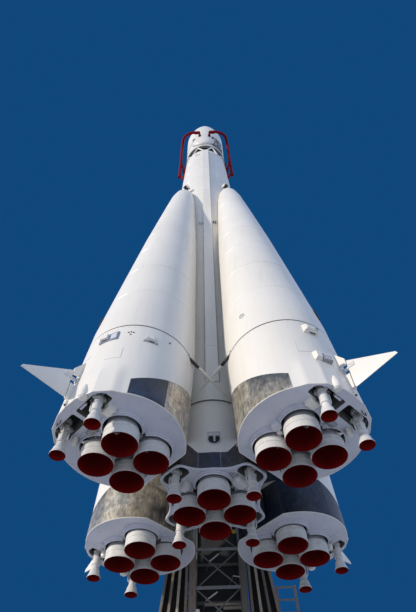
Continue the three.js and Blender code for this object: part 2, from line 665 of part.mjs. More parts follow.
// Access ladder on the rear of the right side beam
function ladder() {
  const { near, far, top, stile, rung, step, rungs } = LADDER;
  const y = SIDE_BEAM.rear + SEAT + stile;
  const bottom = SLAB_TOP + SEAT;
  const stiles = [near, far].map((x) => box([x - stile, x + stile], [y - stile, y + stile], [bottom, top]));
  const bars = Array.from({ length: rungs }, (_, i) => {
    const z = top - 0.05 - i * step;
    return rod([near, y, z], [far, y, z], rung, 4);
  });
  return join(stiles, bars);
}

for (const [name, azimuth] of Object.entries(BOOSTER_AZIMUTHS)) {
  addBooster(name, azimuth);
}
const tanks = coreTanks();
add("core_tail", coreTail(), "base");
add("core_lower_tank", tanks.lower, "white");
add("core_upper_tank", tanks.upper, "white");
const coreSides = [[0, -1], [1, 0], [0, 1], [-1, 0]];
const coreSpots = coreSides.map((spot) => spot.map((step) => step * CORE_CHAMBER_RADIAL));
add("core_engine", engine(coreSpots, 0, 12), "engine");
for (const [name, azimuth] of Object.entries(BOOSTER_AZIMUTHS)) {
  const frame = new THREE.Group();
  frame.rotation.z = radians(azimuth);
  raised.add(frame);
  const steering = add(`core_vernier_${name}`, vernier(CORE_VERNIER.drop), "engine", frame);
  steering.position.copy(point(CORE_VERNIER.radial, 0, CORE_VERNIER.pivot));
}
add("tie_frame", tieFrame(), "steel");
add("interstage_truss", truss(), "white");
add("upper_engine", upperEngine(), "engine");
add("upper_stage", upperStage(), "white");
add("payload_fairing", lathe(FAIRING_PROFILE, CORE_SIDES), "white");
add("red_arm_left", redArm(-1), "red");
add("red_arm_right", redArm(1), "red");
const { slabHalf } = PYLON;
add("pylon_slab", box([-slabHalf, slabHalf], [-slabHalf, slabHalf], [FLOOR, SLAB_TOP]), "slab");
for (const [shaft, frames] of Object.entries({ mast: mast(), boom: boom() })) {
  for (const [side, frame] of Object.entries(frames)) {
    add(`pylon_${shaft}_${side}`, frame, "pylon");
  }
}
add("pylon_cradle_low", cradle(HOLDS.low, HOLD.half), "pylon");
add("pylon_cradle_middle", cradle(HOLDS.middle, HOLD.half), "pylon");
add("pylon_saddle", saddle(), "pylon");
add("pylon_side_beam_left", sideBeam(-1), "pylon");
add("pylon_side_beam_right", sideBeam(1), "pylon");
add("pylon_ladder", ladder(), "pylon");

export default root;
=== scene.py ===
import json
import math
from math import cos, pi, radians, sin, sqrt

import bmesh
import bpy
from mathutils import Matrix, Vector
from mathutils.geometry import delaunay_2d_cdt


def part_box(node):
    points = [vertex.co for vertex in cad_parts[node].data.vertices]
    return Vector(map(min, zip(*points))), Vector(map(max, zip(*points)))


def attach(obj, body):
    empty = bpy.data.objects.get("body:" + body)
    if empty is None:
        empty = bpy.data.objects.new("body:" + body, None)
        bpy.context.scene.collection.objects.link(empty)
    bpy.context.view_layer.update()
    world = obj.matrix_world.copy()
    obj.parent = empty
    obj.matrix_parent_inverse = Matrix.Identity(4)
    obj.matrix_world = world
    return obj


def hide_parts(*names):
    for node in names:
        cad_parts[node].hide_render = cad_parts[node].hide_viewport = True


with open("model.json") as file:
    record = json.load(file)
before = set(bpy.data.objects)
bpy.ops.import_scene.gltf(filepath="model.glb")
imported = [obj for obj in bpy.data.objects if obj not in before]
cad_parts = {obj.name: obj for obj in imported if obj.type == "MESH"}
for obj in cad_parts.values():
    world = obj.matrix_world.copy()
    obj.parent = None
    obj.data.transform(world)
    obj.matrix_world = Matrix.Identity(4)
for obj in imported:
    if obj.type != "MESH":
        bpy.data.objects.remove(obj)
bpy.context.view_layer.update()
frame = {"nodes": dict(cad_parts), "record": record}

bl_info = {
    "name": "Space rocket on its pylon",
    "version": (1, 0, 0),
    "blender": (4, 5, 0),
    "location": "3D View > Sidebar > Rocket",
    "description": "Builds the skins, engines and pylon of a four-booster space rocket round its packed frame",
    "category": "Object",
}

SCALE = 0.5
NOZZLE_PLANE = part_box("core_engine")[0].z / SCALE
MODEL = Matrix.Scale(SCALE, 4) @ Matrix.Translation((0, 0, NOZZLE_PLANE))
ROOT = "rocket_on_pylon"
TAU = 2 * pi
FLOAT, COLOUR, VECTOR = ("NodeSocket" + kind for kind in ("Float", "Color", "Vector"))

# Boosters: azimuth, and the side of the booster that its front faces, counted round its own axis
BOOSTERS = {"front_left": (225, 1), "front_right": (315, -1), "rear_right": (45, 1), "rear_left": (135, -1)}
BASE_RADIAL = 2.64
BASE_Z = 0.45
LEAN = math.atan(0.0671)
TAIL_RADIUS = 1.34
TAIL_NECK = 1.315
TAIL_TOP = 2.42
TANK_TOP = 15.4
BOOSTER_TOP = 17.1
# Columns: distance along the booster's axis, radius
BOOSTER_PROFILE = [
    (0, TAIL_RADIUS), (3.05, TAIL_RADIUS), (6.06, 1.18), (9.57, 0.99), (13.6, 0.72), (TANK_TOP, 0.59),
    (16.3, 0.47), (16.9, 0.3), (BOOSTER_TOP, 0.18),
]
SEAMS = (4.3, 6.06, 7.9, 9.57, 11.6, 13.6)
FLAT_DEPTH = 1.14
FLAT_TOP = 0.9
# Housing of the small chambers, outline of one side: radial, tangential
HOUSING = [(3.3, 1.15), (3.62, 0.975), (3.87, 0.69), (4.0, 0.3), (4.015, 0.05)]
HOUSING_SHOULDER = 0.5
HOUSING_TOP = 1.05
# Recess of a small chamber on one side: radial, tangential
BOOSTER_RECESS = [(3.478, 0.05), (3.81, 0.05), (3.81, 0.63), (3.75, 0.76), (3.67, 0.835), (3.478, 0.835)]
RECESS_TOP = 0.83

# Engines
CHAMBER_OFFSET = 0.39
ENGINE_RADIAL = 2.5
CORE_CHAMBER_RADIAL = 0.552
WELL = 0.4
WELL_TOP = 0.86
WELL_SQUARE = 0.49
VERNIER_RADIAL = 3.644
VERNIER_TANGENTIAL = 0.571
VERNIER_PIVOT = 0.63
VERNIER_DROP = 0.713
PIN_REACH = 0.166
CORE_VERNIER_RADIAL = 1.163
CORE_VERNIER_PIVOT = 0.56
CORE_VERNIER_DROP = 0.702

# Core
DIAGONALS = (45, 135, 225, 315)
CORE_BASE = 0.43
CORE_RING = 2.6
CORE_WAIST = 11.0
CORE_TOP = 24.9
CORE_RADIUS = 1.03
CORE_PROFILE = [(CORE_BASE, CORE_RADIUS), (CORE_WAIST, CORE_RADIUS), (19.2, 1.44), (CORE_TOP, 1.27)]
CORE_RECESS_TOP = 0.76
UPPER_BOTTOM = 26.2
UPPER_TOP = 29.0
UPPER_RADIUS = 1.27
DUCT_HALF = 0.185
DUCT_CENTRE = 0.04
DUCT_DEPTH = 0.12
DUCT_FOOT = 3.2
# Gap that keeps stacked pieces apart
SEAT = 0.0006

# Air rudder
FIN_SEAM = 4.1
FIN_LOW = 0.76
FIN_HIGH = 1.58
FIN_TIP = (5.14, 0.88)
FIN_HALF = 0.045
SHAFT_Z = 1.34


def interpolate(table, at):
    """Value at a place in a table of (place, value) rows."""
    if at <= table[0][0]:
        return table[0][1]
    for (a, low), (b, high) in zip(table, table[1:]):
        if at <= b:
            return low + (high - low) * (at - a) / (b - a)
    return table[-1][1]


def smooth_step(value):
    """Eased value from 0 to 1."""
    t = min(max(value, 0.0), 1.0)
    return t * t * (3 - 2 * t)


def turned(degrees):
    """Turn about the rocket's axis."""
    return Matrix.Rotation(radians(degrees), 4, "Z")


LEANED = Matrix.Translation((BASE_RADIAL, 0, BASE_Z)) @ Matrix.Rotation(-LEAN, 4, "Y")


# Shapes
class Shape:
    """Faces of one piece in rocket metres, each with the name of its finish."""

    def __init__(self):
        self.points = []
        self.faces = []
        self.finishes = []

    def add(self, points, faces, finish, place=None):
        start = len(self.points)
        self.points += [place @ Vector(p) if place else Vector(p) for p in points]
        self.faces += [[start + i for i in face] for face in faces]
        self.finishes += [finish] * len(faces)
        return self

    def loft(self, rows, finish, place=None, caps=(True, True), closed=False):
        """Rows of points round a body, joined one to the next; a cap closes an end."""
        count = len(rows[0])
        points = [p for row in rows for p in row]
        faces = []
        steps = len(rows) if closed else len(rows) - 1
        for k in range(steps):
            low = k * count
            high = ((k + 1) % len(rows)) * count
            faces += [[low + i, low + (i + 1) % count, high + (i + 1) % count, high + i] for i in range(count)]
        if caps[0] and not closed:
            faces.append(list(range(count))[::-1])
        if caps[1] and not closed:
            faces.append([(len(rows) - 1) * count + i for i in range(count)])
        return self.add(points, faces, finish, place)

    def lathe(self, profile, sides, finish, place=None):
        """Profile of (radius, height) points turned about Z; it closes on itself or ends on the axis."""
        looped = profile[0] == profile[-1]
        rows = profile[:-1] if looped else profile
        tiny = 1e-5
        rings = [circle(max(radius, tiny), height, sides) for radius, height in rows]
        start = len(self.finishes)
        self.loft(rings, finish, place, closed=looped)
        if callable(finish):
            for k, low in enumerate(rows):
                middle = (low[1] + rows[(k + 1) % len(rows)][1]) / 2
                band = range(start + k * sides, min(start + (k + 1) * sides, len(self.finishes)))
                for i in band:
                    self.finishes[i] = finish(middle)
            self.finishes[start:] = [finish(rows[0][1]) if callable(f) else f for f in self.finishes[start:]]
        return self

    def tube(self, path, radius, finish, sides=12, place=None, closed=False):
        path = [Vector(p) for p in path]
        count = len(path)
        rows = []
        side = None
        for i, spot in enumerate(path):
            before = path[i - 1] if i or closed else spot
            after = path[(i + 1) % count] if i + 1 < count or closed else spot
            along = (after - before).normalized()
            if side is None:
                side = along.orthogonal().normalized()
            side = (side - along * side.dot(along)).normalized()
            other = along.cross(side)
            here = radius[i] if isinstance(radius, (list, tuple)) else radius
            rows.append([spot + here * (side * cos(a) + other * sin(a)) for a in around(sides)])
        return self.loft(rows, finish, place, closed=closed)

    def box(self, x, y, z, finish, place=None):
        corners = [(x[i], y[j], z[k]) for k in (0, 1) for i, j in ((0, 0), (1, 0), (1, 1), (0, 1))]
        return self.loft([corners[:4], corners[4:]], finish, place)

    def hull(self, points, finish, place=None):
        shell = bmesh.new()
        for p in points:
            shell.verts.new(p)
        made = bmesh.ops.convex_hull(shell, input=shell.verts)
        loose = {v for v in made["geom_interior"] + made["geom_unused"] if isinstance(v, bmesh.types.BMVert)}
        bmesh.ops.delete(shell, geom=list(loose), context="VERTS")
        bmesh.ops.dissolve_limit(shell, angle_limit=0.02, verts=shell.verts, edges=shell.edges)
        shell.verts.index_update()
        corners = [v.co.copy() for v in shell.verts]
        faces = [[v.index for v in f.verts] for f in shell.faces]
        shell.free()
        return self.add(corners, faces, finish, place)

    def build(self, name, place=None, bevel=0.0, sharp=32.0):
        """Mesh object in model metres; bevel is the width of its rounded edges."""
        mesh = bpy.data.meshes.new(name)
        world = MODEL @ place if place else MODEL
        mesh.from_pydata([world @ p for p in self.points], [], self.faces)
        names = sorted(set(self.finishes))
        for finish in names:
            mesh.materials.append(FINISHES[finish])
        mesh.polygons.foreach_set("material_index", [names.index(f) for f in self.finishes])
        shell = bmesh.new()
        shell.from_mesh(mesh)
        bmesh.ops.remove_doubles(shell, verts=shell.verts, dist=2e-5)
        bmesh.ops.recalc_face_normals(shell, faces=shell.faces)
        shell.to_mesh(mesh)
        shell.free()
        mesh.shade_smooth()
        mesh.set_sharp_from_angle(angle=radians(sharp))
        obj = bpy.data.objects.new(name, mesh)
        bpy.context.scene.collection.objects.link(obj)
        if bevel:
            rounding = obj.modifiers.new("Rounded edges", "BEVEL")
            rounding.width = bevel * SCALE
            rounding.segments = 2
            rounding.limit_method = "ANGLE"
            rounding.angle_limit = radians(40)
            rounding.harden_normals = True
        return obj


def around(count, start=0.0):
    """Angles of points evenly spaced round a circle."""
    return [start + TAU * i / count for i in range(count)]


def polar(angle, radius, z=0.0):
    return (radius * cos(angle), radius * sin(angle), z)


def circle(radius, z, sides):
    return [polar(a, radius, z) for a in around(sides)]


def oval(x, y, z, half, half_height, count):
    """Upright oval round a place, facing along X."""
    return [(x, y + half * cos(a), z + half_height * sin(a)) for a in around(count)]


def block(x, ys, zs):
    """Corners at one x of every pair of a y and a height."""
    return [(x, y, z) for y in ys for z in zs]


def grooved(profile, start, end, seams, depth=0.008, half=0.012):
    """Rows (radius, distance) of a body, with a groove at every seam."""
    drops = {start: 0, end: 0}
    drops.update({z: 0 for z, _ in profile if start < z < end})
    for seam in seams:
        drops.update({seam - 2 * half: 0, seam - half: depth, seam + half: depth, seam + 2 * half: 0})
    return [(interpolate(profile, z) - drops[z], z) for z in sorted(drops)]


def inside(loop, x, y):
    """Whether a point lies inside a closed outline."""
    crossings = False
    for (x0, y0), (x1, y1) in zip(loop, loop[1:] + loop[:1]):
        if (y0 > y) != (y1 > y) and x < x0 + (x1 - x0) * (y - y0) / (y1 - y0):
            crossings = not crossings
    return crossings


def filled(outer, holes=()):
    """Points and triangles between an outline and its holes."""
    points = []
    edges = []
    for loop in [outer, *holes]:
        start = len(points)
        points += [Vector(p) for p in loop]
        edges += [(start + i, start + (i + 1) % len(loop)) for i in range(len(loop))]
    spots, _, faces = delaunay_2d_cdt(points, edges, [], 0, 1e-6)[:3]
    kept = []
    for face in faces:
        x = sum(spots[i].x for i in face) / 3
        y = sum(spots[i].y for i in face) / 3
        if inside(outer, x, y) and not any(inside(hole, x, y) for hole in holes):
            kept.append(list(face))
    return [(p.x, p.y) for p in spots], kept


# Geometry node trees
def new_tree(name, inputs):
    """Geometry tree with inputs given as (name, socket type) rows."""
    tree = bpy.data.node_groups.new(name, "GeometryNodeTree")
    tree.interface.new_socket("Geometry", in_out="INPUT", socket_type="NodeSocketGeometry")
    for label, kind in inputs:
        tree.interface.new_socket(label, in_out="INPUT", socket_type=kind)
    tree.interface.new_socket("Geometry", in_out="OUTPUT", socket_type="NodeSocketGeometry")
    return tree


def node(tree, kind, inputs=None, **settings):
    """Adds a node; an input is a value or the socket that feeds it."""
    made = tree.nodes.new(kind)
    for key, value in settings.items():
        setattr(made, key, value)
    for key, value in (inputs or {}).items():
        if isinstance(value, bpy.types.NodeSocket):
            tree.links.new(value, made.inputs[key])
        else:
            made.inputs[key].default_value = value
    return made


def bars_tree():
    """A bar follows every line of the input: round, or flat-sided when Sides is 4."""
    tree = new_tree("Bars along lines", [
        ("Radius", FLOAT), ("Sides", "NodeSocketInt"), ("Finish", "NodeSocketMaterial")])
    given = node(tree, "NodeGroupInput").outputs
    lines = node(tree, "GeometryNodeMeshToCurve", {"Mesh": given["Geometry"]})
    ring = node(tree, "GeometryNodeCurvePrimitiveCircle", {
        "Resolution": given["Sides"], "Radius": given["Radius"]})
    skin = node(tree, "GeometryNodeCurveToMesh", {
        "Curve": lines.outputs["Curve"], "Profile Curve": ring.outputs["Curve"], "Fill Caps": True})
    real = node(tree, "GeometryNodeRealizeInstances", {"Geometry": skin.outputs["Mesh"]})
    dressed = node(tree, "GeometryNodeSetMaterial", {
        "Geometry": real.outputs["Geometry"], "Material": given["Finish"]})
    node(tree, "NodeGroupOutput", {"Geometry": dressed.outputs["Geometry"]})
    return tree


def studs_tree():
    """Round heads stand at even steps along every line and face outwards."""
    tree = new_tree("Studs along lines", [
        ("Spacing", FLOAT), ("Radius", FLOAT), ("Height", FLOAT),
        ("Sides", "NodeSocketInt"), ("Finish", "NodeSocketMaterial")])
    given = node(tree, "NodeGroupInput").outputs
    lines = node(tree, "GeometryNodeMeshToCurve", {"Mesh": given["Geometry"]})
    steps = node(tree, "GeometryNodeResampleCurve", {
        "Curve": lines.outputs["Curve"], "Length": given["Spacing"]}, mode="LENGTH")
    head = node(tree, "GeometryNodeMeshCylinder", {
        "Vertices": given["Sides"], "Radius": given["Radius"], "Depth": given["Height"]})
    outward = node(tree, "GeometryNodeInputNamedAttribute", {"Name": "outward"}, data_type="FLOAT_VECTOR")
    facing = node(tree, "FunctionNodeAlignRotationToVector", {
        "Vector": outward.outputs["Attribute"]}, axis="Z")
    heads = node(tree, "GeometryNodeInstanceOnPoints", {
        "Points": steps.outputs["Curve"], "Instance": head.outputs["Mesh"],
        "Rotation": facing.outputs["Rotation"]})
    real = node(tree, "GeometryNodeRealizeInstances", {"Geometry": heads.outputs["Instances"]})
    dressed = node(tree, "GeometryNodeSetMaterial", {
        "Geometry": real.outputs["Geometry"], "Material": given["Finish"]})
    node(tree, "NodeGroupOutput", {"Geometry": dressed.outputs["Geometry"]})
    return tree


def grown(name, lines, tree, inputs, place=None, outward=None):
    """Plain mesh that a tree grows from lines; a line is (points, closed)."""
    world = MODEL @ place if place else MODEL
    points = []
    edges = []
    for path, closed in lines:
        start = len(points)
        points += [world @ Vector(p) for p in path]
        edges += [(start + i, start + i + 1) for i in range(len(path) - 1)]
        if closed:
            edges.append((start + len(path) - 1, start))
    mesh = bpy.data.meshes.new(name)
    mesh.from_pydata(points, edges, [])
    if outward:
        turn = world.to_3x3()
        directions = mesh.attributes.new("outward", "FLOAT_VECTOR", "POINT")
        flat = [c for path in outward for d in path for c in (turn @ Vector(d)).normalized()]
        directions.data.foreach_set("vector", flat)
    obj = bpy.data.objects.new(name, mesh)
    bpy.context.scene.collection.objects.link(obj)
    grower = obj.modifiers.new(tree.name, "NODES")
    grower.node_group = tree
    for socket in tree.interface.items_tree:
        if socket.in_out == "INPUT" and socket.name in inputs:
            grower[socket.identifier] = inputs[socket.name]
    view = bpy.context.evaluated_depsgraph_get()
    plain = bpy.data.meshes.new_from_object(obj.evaluated_get(view))
    obj.modifiers.clear()
    obj.data = plain
    for attribute in [a.name for a in plain.attributes if a.name == "outward"]:
        plain.attributes.remove(plain.attributes[attribute])
    plain.shade_smooth()
    plain.set_sharp_from_angle(angle=radians(40))
    return obj


def bars(name, lines, radius, finish, sides=8, place=None):
    return grown(name, lines, TREES["bars"], {
        "Radius": radius * SCALE, "Sides": sides, "Finish": FINISHES[finish]}, place)


def studs(name, lines, outward, sizes, height, place):
    return grown(name, lines, TREES["studs"], {
        "Spacing": sizes.stud_step * SCALE, "Radius": sizes.stud * SCALE, "Height": height * SCALE, "Sides": 8,
        "Finish": FINISHES["base"]}, place, outward)


def settle(obj, slot, body=ROOT, *nodes):
    """The piece rides its body and stands for its CAD nodes, which are hidden; slot is not used."""
    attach(obj, body)
    if nodes:
        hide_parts(*nodes)
    return obj


# Shader node groups
def shader_group(name, inputs, outputs):
    """Shader group; inputs are (name, type, default) rows, outputs (name, type)."""
    group = bpy.data.node_groups.new(name, "ShaderNodeTree")
    for label, kind, default in inputs:
        socket = group.interface.new_socket(label, in_out="INPUT", socket_type=kind)
        if default is not None:
            socket.default_value = default
    for label, kind in outputs:
        group.interface.new_socket(label, in_out="OUTPUT", socket_type=kind)
    return group


def ramp(tree, value, stops):
    """Colour ramp with (position, grey) stops."""
    made = node(tree, "ShaderNodeValToRGB", {"Fac": value})
    elements = made.color_ramp.elements
    for element, (at, grey) in zip([elements[0], elements[1]], [stops[0], stops[-1]]):
        element.position = at
        element.color = (grey, grey, grey, 1)
    for at, grey in stops[1:-1]:
        middle = elements.new(at)
        middle.color = (grey, grey, grey, 1)
    return made.outputs["Color"]


def noise(tree, vector, scale, detail=4.0, stretch=(1, 1, 1), roughness=0.55):
    """Noise on a vector whose axes are first stretched."""
    mapped = node(tree, "ShaderNodeMapping", {"Vector": vector, "Scale": stretch})
    made = node(tree, "ShaderNodeTexNoise", {
        "Vector": mapped.outputs["Vector"], "Scale": scale, "Detail": detail, "Roughness": roughness})
    return made.outputs["Fac"]


def mix(tree, factor, low, high, blend="MIX"):
    made = node(tree, "ShaderNodeMix", data_type="RGBA", blend_type=blend)
    for index, value in ((0, factor), (6, low), (7, high)):
        if isinstance(value, bpy.types.NodeSocket):
            tree.links.new(value, made.inputs[index])
        else:
            made.inputs[index].default_value = value
    return made.outputs[2]


def scaled(tree, value, factor, offset=0.0):
    made = node(tree, "ShaderNodeMath", {0: value, 1: factor, 2: offset}, operation="MULTIPLY_ADD")
    return made.outputs[0]


def times(tree, value, factor):
    return node(tree, "ShaderNodeMath", {0: value, 1: factor}, operation="MULTIPLY").outputs[0]


def paint_group():
    """Weathered paint: slow patches, rain streaks, fine specks, and a height for its orange peel."""
    group = shader_group("Weathered paint", [
        ("Vector", VECTOR, None), ("Paint", COLOUR, (0.8, 0.8, 0.8, 1)),
        ("Dirt", COLOUR, (0.2, 0.17, 0.13, 1)), ("Patches", FLOAT, 0.3),
        ("Streaks", FLOAT, 0.2), ("Gloss", FLOAT, 0.4)],
        [("Color", COLOUR), ("Roughness", FLOAT), ("Height", FLOAT)])
    given = node(group, "NodeGroupInput").outputs
    vector = given["Vector"]
    patches = ramp(group, noise(group, vector, 1.1, 5), [(0.35, 0), (0.75, 1)])
    streaks = ramp(group, noise(group, vector, 9, 4, (1, 1, 0.06)), [(0.52, 0), (0.8, 1)])
    specks = ramp(group, noise(group, vector, 60, 2), [(0.66, 0), (0.72, 1)])
    patch_share = times(group, patches, given["Patches"])
    streak_share = times(group, streaks, given["Streaks"])
    speck_share = times(group, specks, given["Streaks"])
    shade = mix(group, 0.75, given["Paint"], given["Dirt"], "MULTIPLY")
    colour = mix(group, patch_share, given["Paint"], shade)
    colour = mix(group, streak_share, colour, given["Dirt"])
    colour = mix(group, scaled(group, speck_share, 0.6), colour, given["Dirt"])
    rough = scaled(group, streak_share, 0.4, given["Gloss"])
    rough = scaled(group, patch_share, 0.2, rough)
    peel = scaled(group, noise(group, vector, 140, 2), 0.25)
    dents = scaled(group, noise(group, vector, 2.2, 3), 1.0, peel)
    node(group, "NodeGroupOutput", {"Color": colour, "Roughness": rough, "Height": dents})
    return group


def steel_group():
    """Bare heat-tinted steel: upright scratches, rolled blotches, brown and blue tints."""
    group = shader_group("Heat-tinted steel", [
        ("Vector", VECTOR, None), ("Bright", COLOUR, (0.5, 0.47, 0.4, 1)),
        ("Dark", COLOUR, (0.06, 0.06, 0.065, 1)), ("Brown", COLOUR, (0.28, 0.19, 0.09, 1)),
        ("Blue", COLOUR, (0.06, 0.085, 0.13, 1))],
        [("Color", COLOUR), ("Roughness", FLOAT), ("Height", FLOAT)])
    given = node(group, "NodeGroupInput").outputs
    vector = given["Vector"]
    blotches = noise(group, vector, 14, 9, (1, 1, 0.75), 0.75)
    scratches = noise(group, vector, 40, 5, (1, 1, 0.3), 0.7)
    tints = noise(group, vector, 2.6, 5)
    dark_share = ramp(group, blotches, [(0.34, 1), (0.62, 0)])
    brown_share = ramp(group, tints, [(0.45, 0), (0.62, 0.8)])
    blue_share = ramp(group, tints, [(0.36, 0.75), (0.47, 0)])
    colour = mix(group, brown_share, given["Bright"], given["Brown"])
    colour = mix(group, blue_share, colour, given["Blue"])
    colour = mix(group, dark_share, colour, given["Dark"])
    streak = ramp(group, scratches, [(0.35, 0.45), (0.65, 1.25)])
    colour = mix(group, 0.8, colour, streak, "MULTIPLY")
    rough = scaled(group, blotches, 0.35, 0.22)
    height = scaled(group, scratches, 0.3, blotches)
    node(group, "NodeGroupOutput", {"Color": colour, "Roughness": rough, "Height": height})
    return group


def wear_group():
    """Edge wear: a mask of chipped spots that is strongest where the surface is convex."""
    group = shader_group("Edge wear", [
        ("Vector", VECTOR, None), ("Amount", FLOAT, 0.5)], [("Mask", FLOAT)])
    given = node(group, "NodeGroupInput").outputs
    edges = ramp(group, node(group, "ShaderNodeNewGeometry").outputs["Pointiness"], [(0.5, 0), (0.58, 1)])
    chips = ramp(group, noise(group, given["Vector"], 24, 6), [(0.45, 0), (0.6, 1)])
    spots = ramp(group, noise(group, given["Vector"], 11, 8, roughness=0.7), [(0.62, 0), (0.66, 1)])
    worn = times(group, edges, chips)
    both = node(group, "ShaderNodeMath", {0: worn, 1: spots}, operation="MAXIMUM").outputs[0]
    node(group, "NodeGroupOutput", {"Mask": times(group, both, given["Amount"])})
    return group


# Filled by the first operator, by short name
GROUPS = {}
TREES = {}
FINISHES = {}


def opaque(colour):
    return (colour[0], colour[1], colour[2], 1)


def dimmed(colour, share):
    return opaque([c * share for c in colour])


def finish_base(name):
    """New material with its Principled shader and Object coordinates."""
    material = bpy.data.materials.new(name)
    material.use_nodes = True
    tree = material.node_tree
    shader = tree.nodes["Principled BSDF"]
    vector = node(tree, "ShaderNodeTexCoord").outputs["Object"]
    return material, tree, shader, vector


def relief(tree, shader, height, strength, distance):
    bump = node(tree, "ShaderNodeBump", {"Height": height, "Strength": strength, "Distance": distance})
    tree.links.new(bump.outputs["Normal"], shader.inputs["Normal"])


def painted(name, paint, dirt, patches, streaks, gloss, wear=0.0, under=(0.1, 0.09, 0.08), metallic=0.0,
            shine=0.5):
    """Weathered paint, with chipped edges where wear is given."""
    material, tree, shader, vector = finish_base(name)
    layer = node(tree, "ShaderNodeGroup", {
        "Vector": vector, "Paint": opaque(paint), "Dirt": opaque(dirt), "Patches": patches, "Streaks": streaks,
        "Gloss": gloss}, node_tree=GROUPS["paint"])
    colour = layer.outputs["Color"]
    if wear:
        chips = node(tree, "ShaderNodeGroup", {"Vector": vector, "Amount": wear}, node_tree=GROUPS["wear"])
        colour = mix(tree, chips.outputs["Mask"], colour, opaque(under))
    tree.links.new(colour, shader.inputs["Base Color"])
    tree.links.new(layer.outputs["Roughness"], shader.inputs["Roughness"])
    shader.inputs["Metallic"].default_value = metallic
    shader.inputs["Specular IOR Level"].default_value = shine
    relief(tree, shader, layer.outputs["Height"], 0.12, 0.004)
    return material


def bare_metal(name, bright, dark, brown, blue, metallic):
    material, tree, shader, vector = finish_base(name)
    layer = node(tree, "ShaderNodeGroup", {
        "Vector": vector, "Bright": opaque(bright), "Dark": opaque(dark), "Brown": opaque(brown),
        "Blue": opaque(blue)}, node_tree=GROUPS["steel"])
    tree.links.new(layer.outputs["Color"], shader.inputs["Base Color"])
    tree.links.new(layer.outputs["Roughness"], shader.inputs["Roughness"])
    shader.inputs["Metallic"].default_value = metallic
    relief(tree, shader, layer.outputs["Height"], 0.3, 0.003)
    return material


def lining(name, paint):
    """Dull red inside of a nozzle: brighter at the mouth and darker up the throat, which is painted shade."""
    material, tree, shader, vector = finish_base(name)
    height = node(tree, "ShaderNodeSeparateXYZ", {"Vector": vector}).outputs["Z"]
    mouth = NOZZLE_PLANE * SCALE
    depth = node(tree, "ShaderNodeMapRange", {
        "Value": height, "From Min": mouth - 0.01, "From Max": mouth + 0.12}).outputs["Result"]
    stains = noise(tree, vector, 5, 5)
    rings = noise(tree, vector, 30, 3, (0.2, 0.2, 3))
    # Painted shade: the red darkens with depth up the throat
    colour = mix(tree, depth, opaque(paint), dimmed(paint, 0.55))
    colour = mix(tree, ramp(tree, stains, [(0.4, 0), (0.75, 0.6)]), colour, dimmed(paint, 0.35))
    tree.links.new(colour, shader.inputs["Base Color"])
    tree.links.new(scaled(tree, stains, 0.3, 0.5), shader.inputs["Roughness"])
    shader.inputs["Specular IOR Level"].default_value = 0.1
    relief(tree, shader, rings, 0.15, 0.003)
    return material


def concrete(name, pale, dark):
    """Cast concrete: pits, stains and a grain."""
    material, tree, shader, vector = finish_base(name)
    stains = ramp(tree, noise(tree, vector, 1.5, 7), [(0.35, 0), (0.7, 1)])
    pits = ramp(tree, noise(tree, vector, 55, 3), [(0.28, 0), (0.38, 1)])
    grain = noise(tree, vector, 160, 3)
    colour = mix(tree, stains, opaque(pale), opaque(dark))
    colour = mix(tree, scaled(tree, grain, 0.5), colour, dimmed(dark, 0.6))
    tree.links.new(colour, shader.inputs["Base Color"])
    tree.links.new(scaled(tree, stains, 0.1, 0.78), shader.inputs["Roughness"])
    relief(tree, shader, scaled(tree, grain, 0.4, pits), 0.35, 0.004)
    return material


# Sizes and colours that a user would change
def colour_property(label, description, default):
    return bpy.props.FloatVectorProperty(
        name=label, description=description, default=default, subtype="COLOR", size=3, min=0, max=1)


def length_property(label, description, default):
    return bpy.props.FloatProperty(name=label, description=description, default=default, unit="LENGTH")


class RocketColours(bpy.types.PropertyGroup):
    """Colours of the rocket's finishes."""

    white: colour_property("White paint", "Paint of the tanks, tails and fairing", (0.83, 0.79, 0.71))
    # A greyer, bluer copy of the white paint: painted shade on the undersides, rims, collars, seams and studs
    base: colour_property("Grey paint with painted shade", "Grey-white paint of the undersides", (0.66, 0.665, 0.72))
    engine: colour_property("Engine paint", "Paint of the nozzles' outsides", (0.74, 0.725, 0.69))
    lining: colour_property("Nozzle red", "Dull red inside the nozzles", (0.20, 0.0016, 0.0016))
    arms: colour_property("Arm red", "Paint of the holding arms", (0.21, 0.002, 0.004))
    pylon: colour_property("Pylon paint", "Dark paint of the pylon", (0.20, 0.21, 0.195))
    ribs: colour_property("Rib paint", "Tan paint of the pylon's ribs", (0.30, 0.24, 0.17))
    dirt: colour_property("Dirt", "Rain streaks and grime", (0.17, 0.15, 0.12))


class RocketSizes(bpy.types.PropertyGroup):
    """Sizes of the rocket's fine fittings, in metres on the real rocket."""

    seam: length_property("Seam", "Radius of the bead along a seam", 0.006)
    rim: length_property("Rim", "Radius of the white rim round a base", 0.012)
    stud: length_property("Stud", "Radius of a stud head", 0.011)
    stud_step: length_property("Stud spacing", "Distance between studs", 0.14)
    sides: bpy.props.IntProperty(
        name="Sides", description="Faces round a tank", default=128, min=24, max=256)


class RocketOperator(bpy.types.Operator):
    """What the rocket's operators share."""

    bl_options = {"REGISTER", "UNDO"}

    def execute(self, context):
        self.make(context.scene.rocket_sizes, context.scene.rocket_colours)
        return {"FINISHED"}


